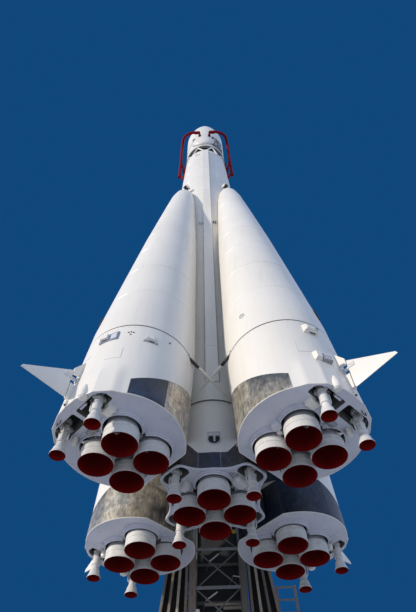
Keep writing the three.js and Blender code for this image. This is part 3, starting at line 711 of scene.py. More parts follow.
class ROCKET_OT_finishes(RocketOperator):
    """Makes the node trees, node groups and materials, and dresses every CAD node"""

    bl_idname = "rocket.finishes"
    bl_label = "Finishes"

    def make(self, sizes, colours):
        TREES.update(bars=bars_tree(), studs=studs_tree())
        GROUPS.update(paint=paint_group(), steel=steel_group(), wear=wear_group())
        dirt = colours.dirt
        FINISHES.update(
            white=painted("White paint", colours.white, dirt, 0.14, 0.10, 0.34),
            # Painted shade: a darker, bluer copy of the white paint for the undersides
            base=painted("Grey paint with painted shade", colours.base, dirt, 0.35, 0.18, 0.45),
            engine=painted("Engine paint", colours.engine, dirt, 0.4, 0.25, 0.5, wear=0.3,
                           under=(0.3, 0.27, 0.22)),
            # Grey paint; above each chamber's skirt it is also painted shade under the collar
            bell=painted("Grey bell paint and painted shade", (0.36, 0.36, 0.37), dirt, 0.6, 0.5, 0.42, wear=0.5,
                         under=(0.5, 0.48, 0.44), metallic=0.3),
            seam=painted("Seam shadow", (0.22, 0.215, 0.21), dirt, 0.3, 0.2, 0.6),
            plate=painted("Grey plate paint", (0.27, 0.30, 0.37), dirt, 0.4, 0.3, 0.5),
            # Near-black painted shade: recess ceilings, thin strips under boxes, the port's hollow, the bay's
            # back and the stage's underside
            cavity=painted("Near-black painted shade", (0.022, 0.021, 0.021), dirt, 0.4, 0.2, 0.7),
            # Near-black sheet, standing for the shade inside the pylon
            sheet=painted("Dark sheet and painted shade", (0.028, 0.028, 0.03), (0.07, 0.055, 0.04), 0.6, 0.4, 0.6),
            # Black: real bands and brackets, and painted shade in slots, gaps and the groove over each tail
            strap=painted("Black band and painted shade", (0.018, 0.018, 0.02), dirt, 0.3, 0.3, 0.5),
            lining=lining("Nozzle lining", colours.lining),
            arms=painted("Arm paint", colours.arms, (0.06, 0.001, 0.001), 0.3, 0.1, 0.6, shine=0.1),
            pylon=painted("Pylon paint", colours.pylon, (0.16, 0.10, 0.05), 0.7, 0.5, 0.55, wear=0.5,
                          under=(0.20, 0.10, 0.05), metallic=0.1),
            # Rusty brown; on the left front post it is also painted sunlight, lighter than the pylon paint
            rust=painted("Rusty brown paint and painted sunlight", (0.34, 0.25, 0.19), (0.16, 0.12, 0.10), 0.6, 0.5, 0.6, wear=0.3),
            cream=painted("Cream paint", (0.55, 0.47, 0.36), dirt, 0.4, 0.4, 0.5, wear=0.3),
            scorched=bare_metal("Scorched steel", (0.075, 0.062, 0.062), (0.022, 0.02, 0.024),
                                (0.07, 0.05, 0.042), (0.045, 0.04, 0.06), 0.3),
            ribs=painted("Rib paint", colours.ribs, (0.12, 0.08, 0.05), 0.5, 0.5, 0.5, wear=0.4),
            bare=bare_metal("Bare steel", (0.54, 0.50, 0.42), (0.13, 0.125, 0.11), (0.40, 0.34, 0.24),
                            (0.25, 0.26, 0.25), 0.3),
            # The straw tint is real; its brightness is painted light bounced from the next booster
            tan=bare_metal("Straw-tinted steel with painted bounce light", (0.92, 0.80, 0.64), (0.30, 0.25, 0.18), (0.75, 0.58, 0.40),
                           (0.50, 0.47, 0.42), 0.3),
            blued=bare_metal("Blued steel", (0.036, 0.058, 0.105), (0.014, 0.018, 0.028), (0.05, 0.045, 0.045),
                             (0.02, 0.045, 0.10), 0.3),
            tie=bare_metal("Tie steel", (0.78, 0.77, 0.74), (0.42, 0.42, 0.42), (0.62, 0.6, 0.55),
                           (0.55, 0.58, 0.62), 0.1),
            yellow=painted("Yellow paint", (0.65, 0.42, 0.03), dirt, 0.4, 0.3, 0.45),
            slab=concrete("Slab concrete", (0.52, 0.51, 0.49), (0.36, 0.355, 0.345)),
        )
        slots = {row["node"]: row["material_slot"] for row in frame["record"]["subparts"]}
        by_slot = {
            "white_paint": "white", "shaded_paint": "base", "engine_paint": "engine", "bare_steel": "tie",
            "red_paint": "arms", "pylon_steel": "pylon", "slab_grey": "slab",
        }
        for name, obj in frame["nodes"].items():
            obj.data.materials.clear()
            obj.data.materials.append(FINISHES[by_slot[slots[name]]])


# Camera, fitted to the photograph: place on the model, and angles in degrees
CAMERA = (0.0501, -4.7665, 0.0527)
CAMERA_PITCH = 57.556
CAMERA_YAW = 0.875
CAMERA_ROLL = -1.297
FOCAL_PIXELS = 487.6
PHOTO_HEIGHT = 612
SENSOR = 36.0
# Sun, placed after the shadows in the photograph: direction and height in degrees
SUN_AZIMUTH = 212
SUN_HEIGHT = 14
SUN_ENERGY = 3.0
SKY_STRENGTH = 0.88
FLOOR_HALF = 60.0


def floor(scene):
    mesh = bpy.data.meshes.new("floor")
    corners = [(x * FLOOR_HALF, y * FLOOR_HALF, 0) for x, y in ((-1, -1), (1, -1), (1, 1), (-1, 1))]
    mesh.from_pydata(corners, [], [(0, 1, 2, 3)])
    material, tree, shader, vector = finish_base("Pale floor")
    tone = mix(tree, noise(tree, vector, 0.4, 4), (0.66, 0.65, 0.63, 1), (0.72, 0.71, 0.69, 1))
    tree.links.new(tone, shader.inputs["Base Color"])
    shader.inputs["Roughness"].default_value = 0.8
    mesh.materials.append(material)
    floor = bpy.data.objects.new("floor", mesh)
    scene.collection.objects.link(floor)


def sun(scene):
    key = bpy.data.lights.new("key", "SUN")
    key.energy = SUN_ENERGY
    key.angle = radians(3)
    key.color = (1.0, 0.91, 0.79)
    sun = bpy.data.objects.new("key", key)
    azimuth, height = radians(SUN_AZIMUTH), radians(SUN_HEIGHT)
    towards = Vector(polar(azimuth, cos(height), sin(height)))
    sun.rotation_euler = towards.to_track_quat("Z", "Y").to_euler()
    scene.collection.objects.link(sun)


def sky(scene):
    """Pale blue fill, seen by the camera as a plain deep blue."""
    world = bpy.data.worlds.new("studio")
    world.use_nodes = True
    sky = world.node_tree
    seen = node(sky, "ShaderNodeLightPath").outputs["Is Camera Ray"]
    tone = mix(sky, seen, (0.41, 0.53, 0.79, 1), (0.006, 0.072, 0.225, 1))
    back = sky.nodes["Background"]
    sky.links.new(tone, back.inputs["Color"])
    back.inputs["Strength"].default_value = SKY_STRENGTH
    scene.world = world
    scene.view_settings.view_transform = "Standard"


def camera(scene):
    lens = bpy.data.cameras.new("camera")
    lens.sensor_width = SENSOR
    lens.lens = FOCAL_PIXELS / PHOTO_HEIGHT * SENSOR
    lens.clip_start = 0.05
    lens.clip_end = 400
    camera = bpy.data.objects.new("camera", lens)
    camera.matrix_world = (
        Matrix.Translation(CAMERA) @ turned(CAMERA_YAW)
        @ Matrix.Rotation(radians(90 + CAMERA_PITCH), 4, "X")
        @ Matrix.Rotation(radians(CAMERA_ROLL), 4, "Z"))
    scene.collection.objects.link(camera)
    scene.camera = camera


class ROCKET_OT_stage(RocketOperator):
    """Sets the pale floor, the soft lights and the camera"""

    bl_idname = "rocket.stage"
    bl_label = "Stage"

    def make(self, sizes, colours):
        scene = bpy.context.scene
        floor(scene)
        sun(scene)
        sky(scene)
        camera(scene)


# Booster tails
def reach(outline, angle):
    """Distance from the origin to a half outline at an angle, or 0 past its end."""
    ray = (cos(angle), abs(sin(angle)))
    best = 0.0
    for (x0, y0), (x1, y1) in zip(outline, outline[1:]):
        dx, dy = x1 - x0, y1 - y0
        cross = ray[0] * dy - ray[1] * dx
        if abs(cross) < 1e-9:
            continue
        along = (x0 * dy - y0 * dx) / cross
        share = (x0 * ray[1] - y0 * ray[0]) / cross
        if along > 0 and -1e-6 <= share <= 1 + 1e-6:
            best = max(best, along)
    return best


HOUSING_LOCAL = [(x - BASE_RADIAL, y) for x, y in HOUSING] + [(HOUSING[-1][0] - BASE_RADIAL + 0.01, 0.0)]


def tail_radius(angle, along, flat):
    """Radius of a booster tail's skin about its own axis: round, housing outboard, flat inboard."""
    radius = interpolate(BOOSTER_PROFILE, along)
    fade = 1 - smooth_step((along - HOUSING_SHOULDER) / (HOUSING_TOP - HOUSING_SHOULDER))
    radius += max(0.0, reach(HOUSING_LOCAL, angle) - radius) * fade
    if flat and cos(angle) < 0:
        radius = min(radius, FLAT_DEPTH / -cos(angle))
    return radius


def tail_columns():
    """Angles of a tail's columns: even steps, and one at each corner."""
    corners = [math.atan2(y, x) for x, y in HOUSING_LOCAL if y > 0]
    flat_end = math.acos(-FLAT_DEPTH / TAIL_RADIUS)
    extra = [s * a for a in corners + [flat_end] for s in (-1, 1)]
    even = [a for a in around(144) if all(abs((a - b + pi) % TAU - pi) > 0.012 for b in extra)]
    return sorted(a % TAU for a in even + extra)


def rounded_box(half_x, half_y, corner=0.05, steps=4):
    """Outline of a rectangle with round corners."""
    loop = []
    for k, (sx, sy) in enumerate(((1, 1), (-1, 1), (-1, -1), (1, -1))):
        for i in range(steps + 1):
            a = pi / 2 * (k + i / steps)
            x = sx * (half_x - corner) + corner * cos(a)
            y = sy * (half_y - corner) + corner * sin(a)
            loop.append((x, y))
    return loop


def clover(turn=0.0):
    """Outline of the well over four chambers: four circles and the square between them."""
    centre = math.hypot(CHAMBER_OFFSET, CHAMBER_OFFSET)
    loop = []
    for a in around(160):
        best = WELL_SQUARE / max(abs(cos(a)), abs(sin(a)))
        for k in range(4):
            delta = a - radians(45 + 90 * k)
            across = centre * sin(delta)
            if abs(across) < WELL and cos(delta) > 0:
                best = max(best, centre * cos(delta) + sqrt(WELL ** 2 - across ** 2))
        loop.append((best * cos(a + turn), best * sin(a + turn)))
    return loop


def base_height(x):
    """Height of the leaning base disc over a radial place."""
    return BASE_Z + (x - BASE_RADIAL) * math.tan(LEAN)


def collar(shape, x, y, towards, plane):
    """Stepped ring round the outer side of a chamber's well; plane gives the underside's height."""
    turns = [towards + radians(-104 + 6.5 * k) for k in range(33)]
    for outer, inner, drop in ((0.42, 0.4, 0.1), (0.45, 0.419, 0.06)):
        section = ((outer, drop), (outer, -0.01), (inner, -0.01), (inner, drop))
        rows = []
        for a in turns:
            spots = [(x + r * cos(a), y + r * sin(a), d) for r, d in section]
            rows.append([(px, py, plane(px) - d) for px, py, d in spots])
        shape.loft(rows, "base")


def trimmed(loop, size=0.03):
    """Outline with every corner cut off."""
    spots = []
    for before, here, after in zip(loop[-1:] + loop[:-1], loop, loop[1:] + loop[:1]):
        for other in (before, after):
            spots.append(Vector(here) + (Vector(other) - Vector(here)).normalized() * size)
    return [(p.x, p.y) for p in spots]


def pocket(shape, loop, bottom, top, finish, ceiling):
    """Walls and ceiling of a pocket in an underside; bottom gives the height of its rim."""
    low = [(x, y, bottom(x)) for x, y in loop]
    high = [(x, y, top) for x, y in loop]
    shape.loft([low, high], finish, caps=(False, False))
    spots, faces = filled(loop)
    shape.add([(x, y, top) for x, y in spots], faces, ceiling)


# Bare steel round the inner side of each tail; the straw tint is brightened as painted bounce light. Columns:
# from, to in degrees round the booster's axis, finish
SHEETS = {
    "front_left": [(57, 91, "blued"), (91, 303, "tan")], "front_right": [(57, 303, "bare")],
    "rear_right": [(57, 303, "blued")], "rear_left": [(57, 303, "bare")],
}
# Panels on the base disc. Columns: radial from, to, tangential from, to, drop, height inside, finish
BASE_PANELS = [
    (3.28, 3.465, 0.46, 0.70, 0.1, 0.02, "white"), (3.3, 3.445, 0.48, 0.68, 0.115, 0.02, "white"),
    (3.74, 3.79, 0.15, 0.34, 0.0, 0.06, "base"), (3.16, 3.4, -0.9, -0.66, 0.012, 0.02, "base"),
]
# Round covers under the base disc. Columns: radial, tangential, and (drop, radius) rows
BASE_COVERS = [
    (3.925, 0.46, [
        (0.06, 0.06), (0.03, 0.095), (-0.05, 0.105), (-0.15, 0.088), (-0.26, 0.05), (-0.35, 0.014)]),
    (3.38, -0.56, [(-0.02, 0.05), (0.03, 0.072), (0.12, 0.072), (0.17, 0.05), (0.19, 0.01)]),
]
# Hose, handle and small feeds on the base disc. Columns: spots, radius, finish, sides
BASE_PIPES = [
    ([(3.3, -0.5, 0.04), (3.22, -0.42, 0.1), (3.17, -0.34, 0.06), (3.13, -0.26, 0.11), (3.11, -0.18, 0.05)],
     0.032, "white", 12),
    ([(3.87, -0.38, 0), (3.87, -0.38, 0.07), (3.88, -0.48, 0.07), (3.88, -0.48, 0)], 0.011, "strap", 8),
    ([(3.3, -0.66, 0.02), (3.31, -0.5, 0.05), (3.3, -0.34, 0.05), (3.27, -0.2, 0.03)], 0.028, "bell", 12),
    ([(3.26, -0.3, 0), (3.27, -0.14, 0.02), (3.26, 0.02, 0)], [0.06, 0.085, 0.06], "bell", 16),
    ([(3.3, 0.05, 0.02), (3.38, 0.16, 0.05), (3.42, 0.26, 0.03)], 0.03, "engine", 12),
]
# Round stub on the boosters whose front is on their right, and a feed on the others
BASE_STUB = ([(2.53, 0.7, -0.02), (2.53, 0.7, 0.09), (2.53, 0.7, 0.11)], [0.11, 0.11, 0.095], "base", 28)
STUB_PANEL = (2.43, 2.53, 0.5, 0.6, 0.13, 0.02, "white")
BASE_FEED = ([(3.05, 0.68, 0), (3.1, 0.7, 0.05), (3.2, 0.62, 0.05)], 0.026, "engine", 12)


def tail_skin(name, place, columns):
    """Skin and base disc, with the well of the chambers and two recesses."""
    tail = Shape()
    heights = [(0.0, True), (0.25, True), (HOUSING_SHOULDER, True), (0.6, True), (0.7, True), (0.8, True),
               (FLAT_TOP, True), (FLAT_TOP, False), (0.97, False), (HOUSING_TOP, False), (1.5, False),
               (2.0, False), (TAIL_TOP - 0.025, False)]
    rows = [[polar(a, tail_radius(a, z, flat), z) for a in columns] for z, flat in heights]
    rows.append([polar(a, TAIL_NECK, TAIL_TOP) for a in columns])
    tail.loft(rows, "white", LEANED, caps=(False, True))

    outline = [(BASE_RADIAL + p[0] * cos(LEAN), p[1]) for p in rows[0]]
    well = [(x + ENGINE_RADIAL, y) for x, y in clover()]
    recesses = [trimmed([(x, s * y) for x, y in BOOSTER_RECESS]) for s in (-1, 1)]
    spots, faces = filled(outline, [well, *recesses])
    tail.add([(x, y, base_height(x)) for x, y in spots], faces, "base")
    # Painted shade: the well's ceiling takes the seam shadow and each recess's ceiling the near-black
    pocket(tail, well, base_height, WELL_TOP, "bell", "seam")
    for recess in recesses:
        pocket(tail, recess, base_height, RECESS_TOP, "pylon", "cavity")
    settle(tail.build(f"tail_{name}", place), "white_paint", ROOT, f"booster_tail_{name}")


def tail_steel(shape, first, last, finish):
    """Steel sheet between two directions, higher towards the core."""
    rows = []
    for a in [first, *[a for a in tail_columns() if first + 0.01 < a < last - 0.01], last]:
        top = 0.83 - 0.71 * cos(a)
        bend = min(top, FLAT_TOP)
        levels = [(0.012, True), (bend, True), (bend + 0.001, False), (top, False)]
        outer = [polar(a, tail_radius(a, z, flat) + 0.007, z) for z, flat in levels]
        inner = [polar(a, tail_radius(a, z, flat) - 0.01, z) for z, flat in levels[::-1]]
        rows.append(outer + inner)
    shape.loft(rows, finish, LEANED)


def tail_edges(name, place, side, columns, sizes):
    """Rim, seams, and studs round the base and under the tank."""
    rim = [LEANED @ Vector(polar(a, tail_radius(a, 0, True) - 0.004, 0.004)) for a in columns]
    settle(bars(f"tail_rims_{name}", [(rim, True)], sizes.rim, "white", 8, place), "white_paint")
    settle(bars(f"tail_seams_{name}", tail_seams(side), sizes.seam, "base", 6, place), "white_paint")
    # The studs leave out the side where the small chambers swing
    kept = [a for a in columns if 1.3 < a < 4.98]
    ring = [LEANED @ Vector(polar(a, tail_radius(a, 0, True) - 0.06, 0.0)) for a in kept]
    upper = [LEANED @ Vector(polar(a, TAIL_RADIUS + 0.001, TAIL_TOP - 0.09)) for a in around(96)]
    outward = [[(0, 0, -1)] * len(ring), [polar(a, 1) for a in around(96)]]
    lines = [(ring, False), (upper, True)]
    settle(studs(f"tail_studs_{name}", lines, outward, sizes, 0.008, place), "shaded_paint")


def tail_seams(side):
    """Outline of a hatch and two joints between plates."""
    def on_skin(degrees, z):
        a = radians(degrees)
        return LEANED @ Vector(polar(a, tail_radius(a, z, False) + 0.001, z))

    low, high = 1.14, 1.5
    hatch = [on_skin(side * d, low) for d in range(26, 44, 2)] + [on_skin(side * 42, high)]
    joint = [on_skin(side * d, high + 0.06) for d in range(-8, 10, 3)]
    across = [(3.42, side * y, base_height(3.42)) for y in (0.7, 0.86, 1.02)]
    return [(hatch, False), (joint, False), (across, False)]


def fin_root(shape):
    """Fixed plates under and over the rudder's shaft, the shaft's bearing and a small peg."""
    outer = FIN_SEAM - 0.01
    low = [(3.7, FIN_LOW), (outer, FIN_LOW), (outer, 1.17), (3.7, 1.10)]
    high = [(3.7, 1.54), (outer, 1.48), (outer, 1.65), (3.94, 1.86), (3.86, 2.02), (3.7, 2.05)]
    for plate, half in ((low, FIN_HALF), (high, 0.028)):
        shape.hull([(x, s * half, z) for x, z in plate for s in (-1, 1)], "white")
    shape.tube([(3.7, 0, SHAFT_Z), (3.98, 0, SHAFT_Z)], 0.07, "engine", 16)
    shape.tube([(3.9, 0, SHAFT_Z), (3.95, 0, SHAFT_Z)], 0.09, "engine", 16)
    shape.tube([(4.0, 0, 0.74), (4.03, 0, 0.66), (4.035, 0, 0.58)], [0.018, 0.035, 0.04], "white", 16)
    shape.tube([(4.035, 0, 0.582), (4.036, 0, 0.56)], 0.022, "strap", 12)


def left_boxes(shape):
    """Open hatch, vents and a wedge-shaped cover of a front left or rear right booster."""
    skin = TAIL_RADIUS
    turn = LEANED @ turned(23)
    shape.box((skin - 0.03, skin + 0.014), (-0.24, 0.235), (1.88, 2.17), "plate", turn)
    shape.box((skin - 0.02, skin + 0.022), (0.05, 0.2), (1.93, 2.12), "base", turn)
    lid = block(skin, (-0.2, 0.0), (1.94, 2.13)) + block(skin + 0.08, (-0.19, -0.01), (1.955, 2.1))
    shape.hull(lid, "white", turn)
    # Thin black strip under the lid: painted shadow
    shape.box((skin, skin + 0.03), (-0.17, -0.02), (1.93, 1.942), "cavity", turn)
    for degrees, z in ((42.5, 2.1), (45, 2.12), (47.5, 2.1), (45, 2.02)):
        vent = LEANED @ turned(degrees)
        shape.tube([(skin - 0.01, 0, z), (skin + 0.008, 0, z)], 0.022, "strap", 12, vent)
    turn = LEANED @ turned(66)
    wedge = (block(skin - 0.01, (-0.16, 0.16), (1.82,)) + block(skin - 0.01, (-0.03, 0.03), (2.12,))
             + block(skin + 0.09, (-0.1, 0.1), (1.86,)))
    shape.hull(wedge, "white", turn)
    foot = (block(skin - 0.005, (-0.18, 0.18), (1.80,)) + block(skin - 0.005, (-0.04, 0.04), (2.15,))
            + block(skin + 0.008, (-0.17, 0.17), (1.81,)))
    shape.hull(foot, "plate", turn)
    # Thin black strip under the wedge: painted shadow
    shape.box((skin + 0.02, skin + 0.035), (-0.06, 0.08), (1.81, 1.822), "cavity", turn)
    shape.tube([(skin - 0.01, 0, 2.1), (skin + 0.025, 0, 2.1)], 0.028, "plate", 12, LEANED @ turned(85))


def right_boxes(shape):
    """Rounded cover and ribbed cooler of a front right or rear left booster."""
    skin = TAIL_RADIUS
    turn = LEANED @ turned(-21)
    cover = (block(skin - 0.01, (-0.19, 0.17), (1.92, 2.2))
             + block(skin + 0.07, (-0.17, 0.15), (1.94, 2.15))
             + block(skin + 0.12, (-0.13, 0.1), (1.97, 2.1)))
    shape.hull(cover, "white", turn)
    # Thin black strip under the cover: painted shadow
    shape.box((skin + 0.02, skin + 0.045), (-0.05, 0.1), (1.908, 1.922), "cavity", turn)
    shape.box((skin + 0.09, skin + 0.125), (0.06, 0.14), (1.98, 2.05), "bell", turn)
    turn = LEANED @ turned(-24)
    cover = (block(skin - 0.01, (-0.13, 0.04), (0.84, 1.14))
             + block(skin + 0.11, (-0.1, 0.02), (0.88, 1.06)))
    shape.hull(cover, "white", turn)
    shape.box((skin - 0.02, skin + 0.04), (0.05, 0.27), (0.84, 1.08), "bell", turn)
    for k in range(6):
        y = 0.06 + 0.038 * k
        shape.box((skin, skin + 0.1), (y, y + 0.016), (0.85, 1.07), "base", turn)


def disc_fittings(shape, side):
    """Panels, covers and pipes on the base disc; side is where the booster's front lies."""
    def on_base(x, y, down):
        return (x, side * y, base_height(x) - down)

    def panel(x0, x1, y0, y1, down, up, finish):
        corners = [(x0, y0), (x1, y0), (x1, y1), (x0, y1)]
        shape.loft([[on_base(x, y, d) for x, y in corners] for d in (down, -up)], finish)

    def pipe(spots, radius, finish, sides):
        shape.tube([on_base(*spot) for spot in spots], radius, finish, sides)

    for row in BASE_PANELS:
        panel(*row)
    for x, y, profile in BASE_COVERS:
        rows = []
        for drop, r in profile:
            rows.append([on_base(x + r * cos(a), y + r * sin(a), drop) for a in around(20)])
        shape.loft(rows, "white")
    for row in BASE_PIPES:
        pipe(*row)
    if side < 0:
        pipe(*BASE_STUB)
        panel(*STUB_PANEL)
    else:
        pipe(*BASE_FEED)


class ROCKET_OT_booster_tails(RocketOperator):
    """Makes the four booster tails with their wells, housings, fin roots and boxes"""

    bl_idname = "rocket.booster_tails"
    bl_label = "Booster tails"

    def make(self, sizes, colours):
        columns = tail_columns()
        for name, (azimuth, side) in BOOSTERS.items():
            place = turned(azimuth)
            tail_skin(name, place, columns)

            sheet = Shape()
            for first, last, finish in SHEETS[name]:
                tail_steel(sheet, radians(first), radians(last), finish)
            settle(sheet.build(f"tail_steel_{name}", place, sharp=50), "bare_steel")

            fittings = Shape()
            fin_root(fittings)
            if side > 0:
                left_boxes(fittings)
            else:
                right_boxes(fittings)
            settle(fittings.build(f"tail_fittings_{name}", place, bevel=0.008), "white_paint")

            under = Shape()
            for i in (-1, 1):
                for j in (-1, 1):
                    x, y = ENGINE_RADIAL + i * CHAMBER_OFFSET, j * CHAMBER_OFFSET
                    collar(under, x, y, math.atan2(j, i), base_height)
            disc_fittings(under, side)
            settle(under.build(f"base_fittings_{name}", place, bevel=0.005), "shaded_paint")

            tail_edges(name, place, side, columns, sizes)


# Nose of a booster. Columns: radius, distance along the booster's axis
NOSE = [
    (0, TANK_TOP + SEAT), (0.59, TANK_TOP + SEAT), (0.575, 15.55), (0.53, 15.9), (0.47, 16.3), (0.4, 16.58),
    (0.3, 16.88), (0.235, 17.02), (0.16, 17.1), (0, 17.105),
]


def tank_brackets(shape, side):
    """Two short brackets, and a ring on the boosters whose front is on their right."""
    for along in (3.5, 3.74):
        radius = interpolate(BOOSTER_PROFILE, along)
        shape.box((radius - 0.02, radius + 0.04), (-0.03, 0.03), (along - 0.08, along + 0.08), "strap",
                  LEANED @ turned(-14 * side))
    if side < 0:
        along = 3.25
        radius = interpolate(BOOSTER_PROFILE, along)
        spot = LEANED @ turned(86 * side) @ Matrix.Translation((radius, 0, along))
        shape.tube(oval(0.004, 0, 0, 0.07, 0.07, 28), 0.009, "plate", 8, spot, closed=True)
        shape.tube([(-0.01, 0, 0), (0.01, 0, 0)], 0.025, "base", 16, spot)


def stud_rows(name, place, sizes):
    """Two rows of studs round the tank, just off its lowest seams."""
    rows = []
    outward = []
    for along in (4.22, 6.14):
        radius = interpolate(BOOSTER_PROFILE, along) + 0.001
        rows.append(([LEANED @ Vector(polar(a, radius, along)) for a in around(96)], True))
        outward.append([polar(a, 1) for a in around(96)])
    settle(studs(f"tank_studs_{name}", rows, outward, sizes, 0.006, place), "shaded_paint")


class ROCKET_OT_booster_bodies(RocketOperator):
    """Makes the booster tanks and their noses, with seams, a black band of painted shade in the groove over
    each tail, and small brackets
    """

    bl_idname = "rocket.booster_bodies"
    bl_label = "Booster bodies"

    def make(self, sizes, colours):
        for name, (azimuth, side) in BOOSTERS.items():
            place = turned(azimuth)
            rows = [(TAIL_NECK, TAIL_TOP + SEAT)] + grooved(BOOSTER_PROFILE, TAIL_TOP + 0.025, TANK_TOP, SEAMS)
            tank = Shape().lathe([(0, TAIL_TOP + SEAT), *rows, (0, TANK_TOP)], sizes.sides, "white", LEANED)
            settle(tank.build(f"tank_{name}", place, sharp=18), "white_paint", ROOT, f"booster_tank_{name}")

            nose = Shape().lathe(NOSE, sizes.sides, "white", LEANED)
            settle(nose.build(f"nose_{name}", place), "white_paint", ROOT, f"booster_nose_{name}")

            # Black band in the groove over the tail: painted shade of the groove
            low, high = TAIL_TOP - 0.02, TAIL_TOP + 0.02
            section = [(1.3, low), (1.333, low), (1.333, high), (1.3, high), (1.3, low)]
            groove_shade = Shape().lathe(section, sizes.sides, "strap", LEANED)
            settle(groove_shade.build(f"seal_{name}", place), "bare_steel")

            brackets = Shape()
            tank_brackets(brackets, side)
            settle(brackets.build(f"tank_brackets_{name}", place, bevel=0.006), "bare_steel")
            stud_rows(name, place, sizes)


# Engines. Columns: radius, height over the mouth
CHAMBER_PROFILE = [
    (0, 0.6), (0.15, 0.6), (0.24, 0.46), (0.3, 0.3), (0.335, 0.12), (0.345, 0), (0.36, 0), (0.362, 0.01),
    (0.362, 0.028), (0.357, 0.036), (0.357, 0.135), (0.347, 0.142), (0.347, 0.16), (0.357, 0.167),
    (0.356, 0.285), (0.348, 0.295), (0.333, 0.3), (0.333, 0.33), (0.34, 0.335), (0.34, 0.36), (0.33, 0.366),
    (0.318, 0.47), (0.324, 0.476), (0.324, 0.5), (0.31, 0.508), (0.27, 0.61), (0.22, 0.7), (0.2, 0.75),
    (0.2, 0.84), (0, 0.84),
]
# Above the skirt a chamber takes the grey bell paint, partly painted shade under its collar
SKIRT_TOP = 0.298
LINING_PROFILE = [
    (0, 0.597), (0.148, 0.597), (0.237, 0.458), (0.297, 0.299), (0.332, 0.12), (0.3445, 0.0), (0.346, -0.004),
    (0.358, -0.004), (0.359, 0.003),
]
HUB_PROFILE = [
    (0, 0.38), (0.17, 0.38), (0.18, 0.39), (0.18, 0.44), (0.23, 0.45), (0.24, 0.46), (0.24, 0.52),
    (0.28, 0.53), (0.29, 0.54), (0.29, 0.6), (0.31, 0.62), (0.31, 0.855), (0, 0.855),
]
VERNIER_PROFILE = [
    (0, 0.25), (0.055, 0.25), (0.075, 0.2), (0.148, 0), (0.16, 0), (0.162, 0.006), (0.162, 0.02),
    (0.157, 0.026), (0.118, 0.14), (0.122, 0.146), (0.119, 0.166), (0.111, 0.17), (0.08, 0.27), (0.08, 0.3),
    (0.1, 0.308), (0.1, 0.345), (0.09, 0.355),
]
VERNIER_LINING = [
    (0, 0.248), (0.054, 0.248), (0.0735, 0.199), (0.1475, 0.0), (0.149, -0.003), (0.159, -0.003),
    (0.16, 0.002),
]
# Head of a small chamber. Columns: radius, height over its pin
VERNIER_HEAD = [(0.09, -0.09), (0.1, -0.08), (0.1, -0.01), (0.085, 0.03), (0.05, 0.065), (0, 0.075)]
CLAMP_Z = -0.2


def shell_of(profile, thickness):
    """Closed wall of a thickness inside a bell profile."""
    crown = profile[1][1]
    inner = []
    for radius, z in profile:
        lowered = radius == 0 or z == crown
        inner.append((max(radius - thickness, 0), z - thickness * lowered))
    return [*profile, *inner[::-1], profile[0]]


def engine_pieces(name, spots, place):
    """Four chambers joined by a frame, and the red linings of their mouths."""
    body = Shape()
    linings = Shape()
    for x, y in spots:
        here = Matrix.Translation((x, y, 0))
        # White below the skirt, grey above it, partly painted shade under the collar
        body.lathe(CHAMBER_PROFILE, 72, lambda z: "engine" if z < SKIRT_TOP else "bell", here)
        linings.lathe(shell_of(LINING_PROFILE, 0.004), 72, "lining", here)
    for (x0, y0), (x1, y1) in zip(spots, spots[1:] + spots[:1]):
        ends = [(x0 + (x1 - x0) * s, y0 + (y1 - y0) * s, 0.5) for s in (0.25, 0.75)]
        body.tube(ends, 0.07, "engine", 16)
        feed = [(x0 * share, y0 * share, z) for share, z in ((0.62, 0.74), (0.4, 0.7), (0.2, 0.62))]
        body.tube(feed, 0.045, "engine", 12)
    body.lathe(HUB_PROFILE, 48, "engine")
    settle(body.build(f"engine_{name}", place), "engine_paint", ROOT, name)
    settle(linings.build(f"linings_{name}", place), "dark_red")


class ROCKET_OT_engines(RocketOperator):
    """Makes the five engines: four fixed chambers each, white outside and dull red inside"""

    bl_idname = "rocket.engines"
    bl_label = "Engines"

    def make(self, sizes, colours):
        o = CHAMBER_OFFSET
        for name, (azimuth, _) in BOOSTERS.items():
            place = turned(azimuth) @ Matrix.Translation((ENGINE_RADIAL, 0, 0))
            engine_pieces(f"booster_engine_{name}", [(o, o), (-o, o), (-o, -o), (o, -o)], place)
        r = CORE_CHAMBER_RADIAL
        engine_pieces("core_engine", [(0, -r), (r, 0), (0, r), (-r, 0)], Matrix())


def steering_feed(label, place):
    """Corrugated feed that comes down from the recess's ceiling."""
    feed = Shape()
    feed.tube([(0, 0, 0.13), (0, 0, 0.21)], 0.085, "engine", 24)
    for step in range(3):
        z = 0.128 + 0.024 * step
        feed.tube([(0, 0, z), (0, 0, z + 0.012)], 0.098, "engine", 24)
    settle(feed.build(f"steering_feed_{label}", place), "engine_paint")


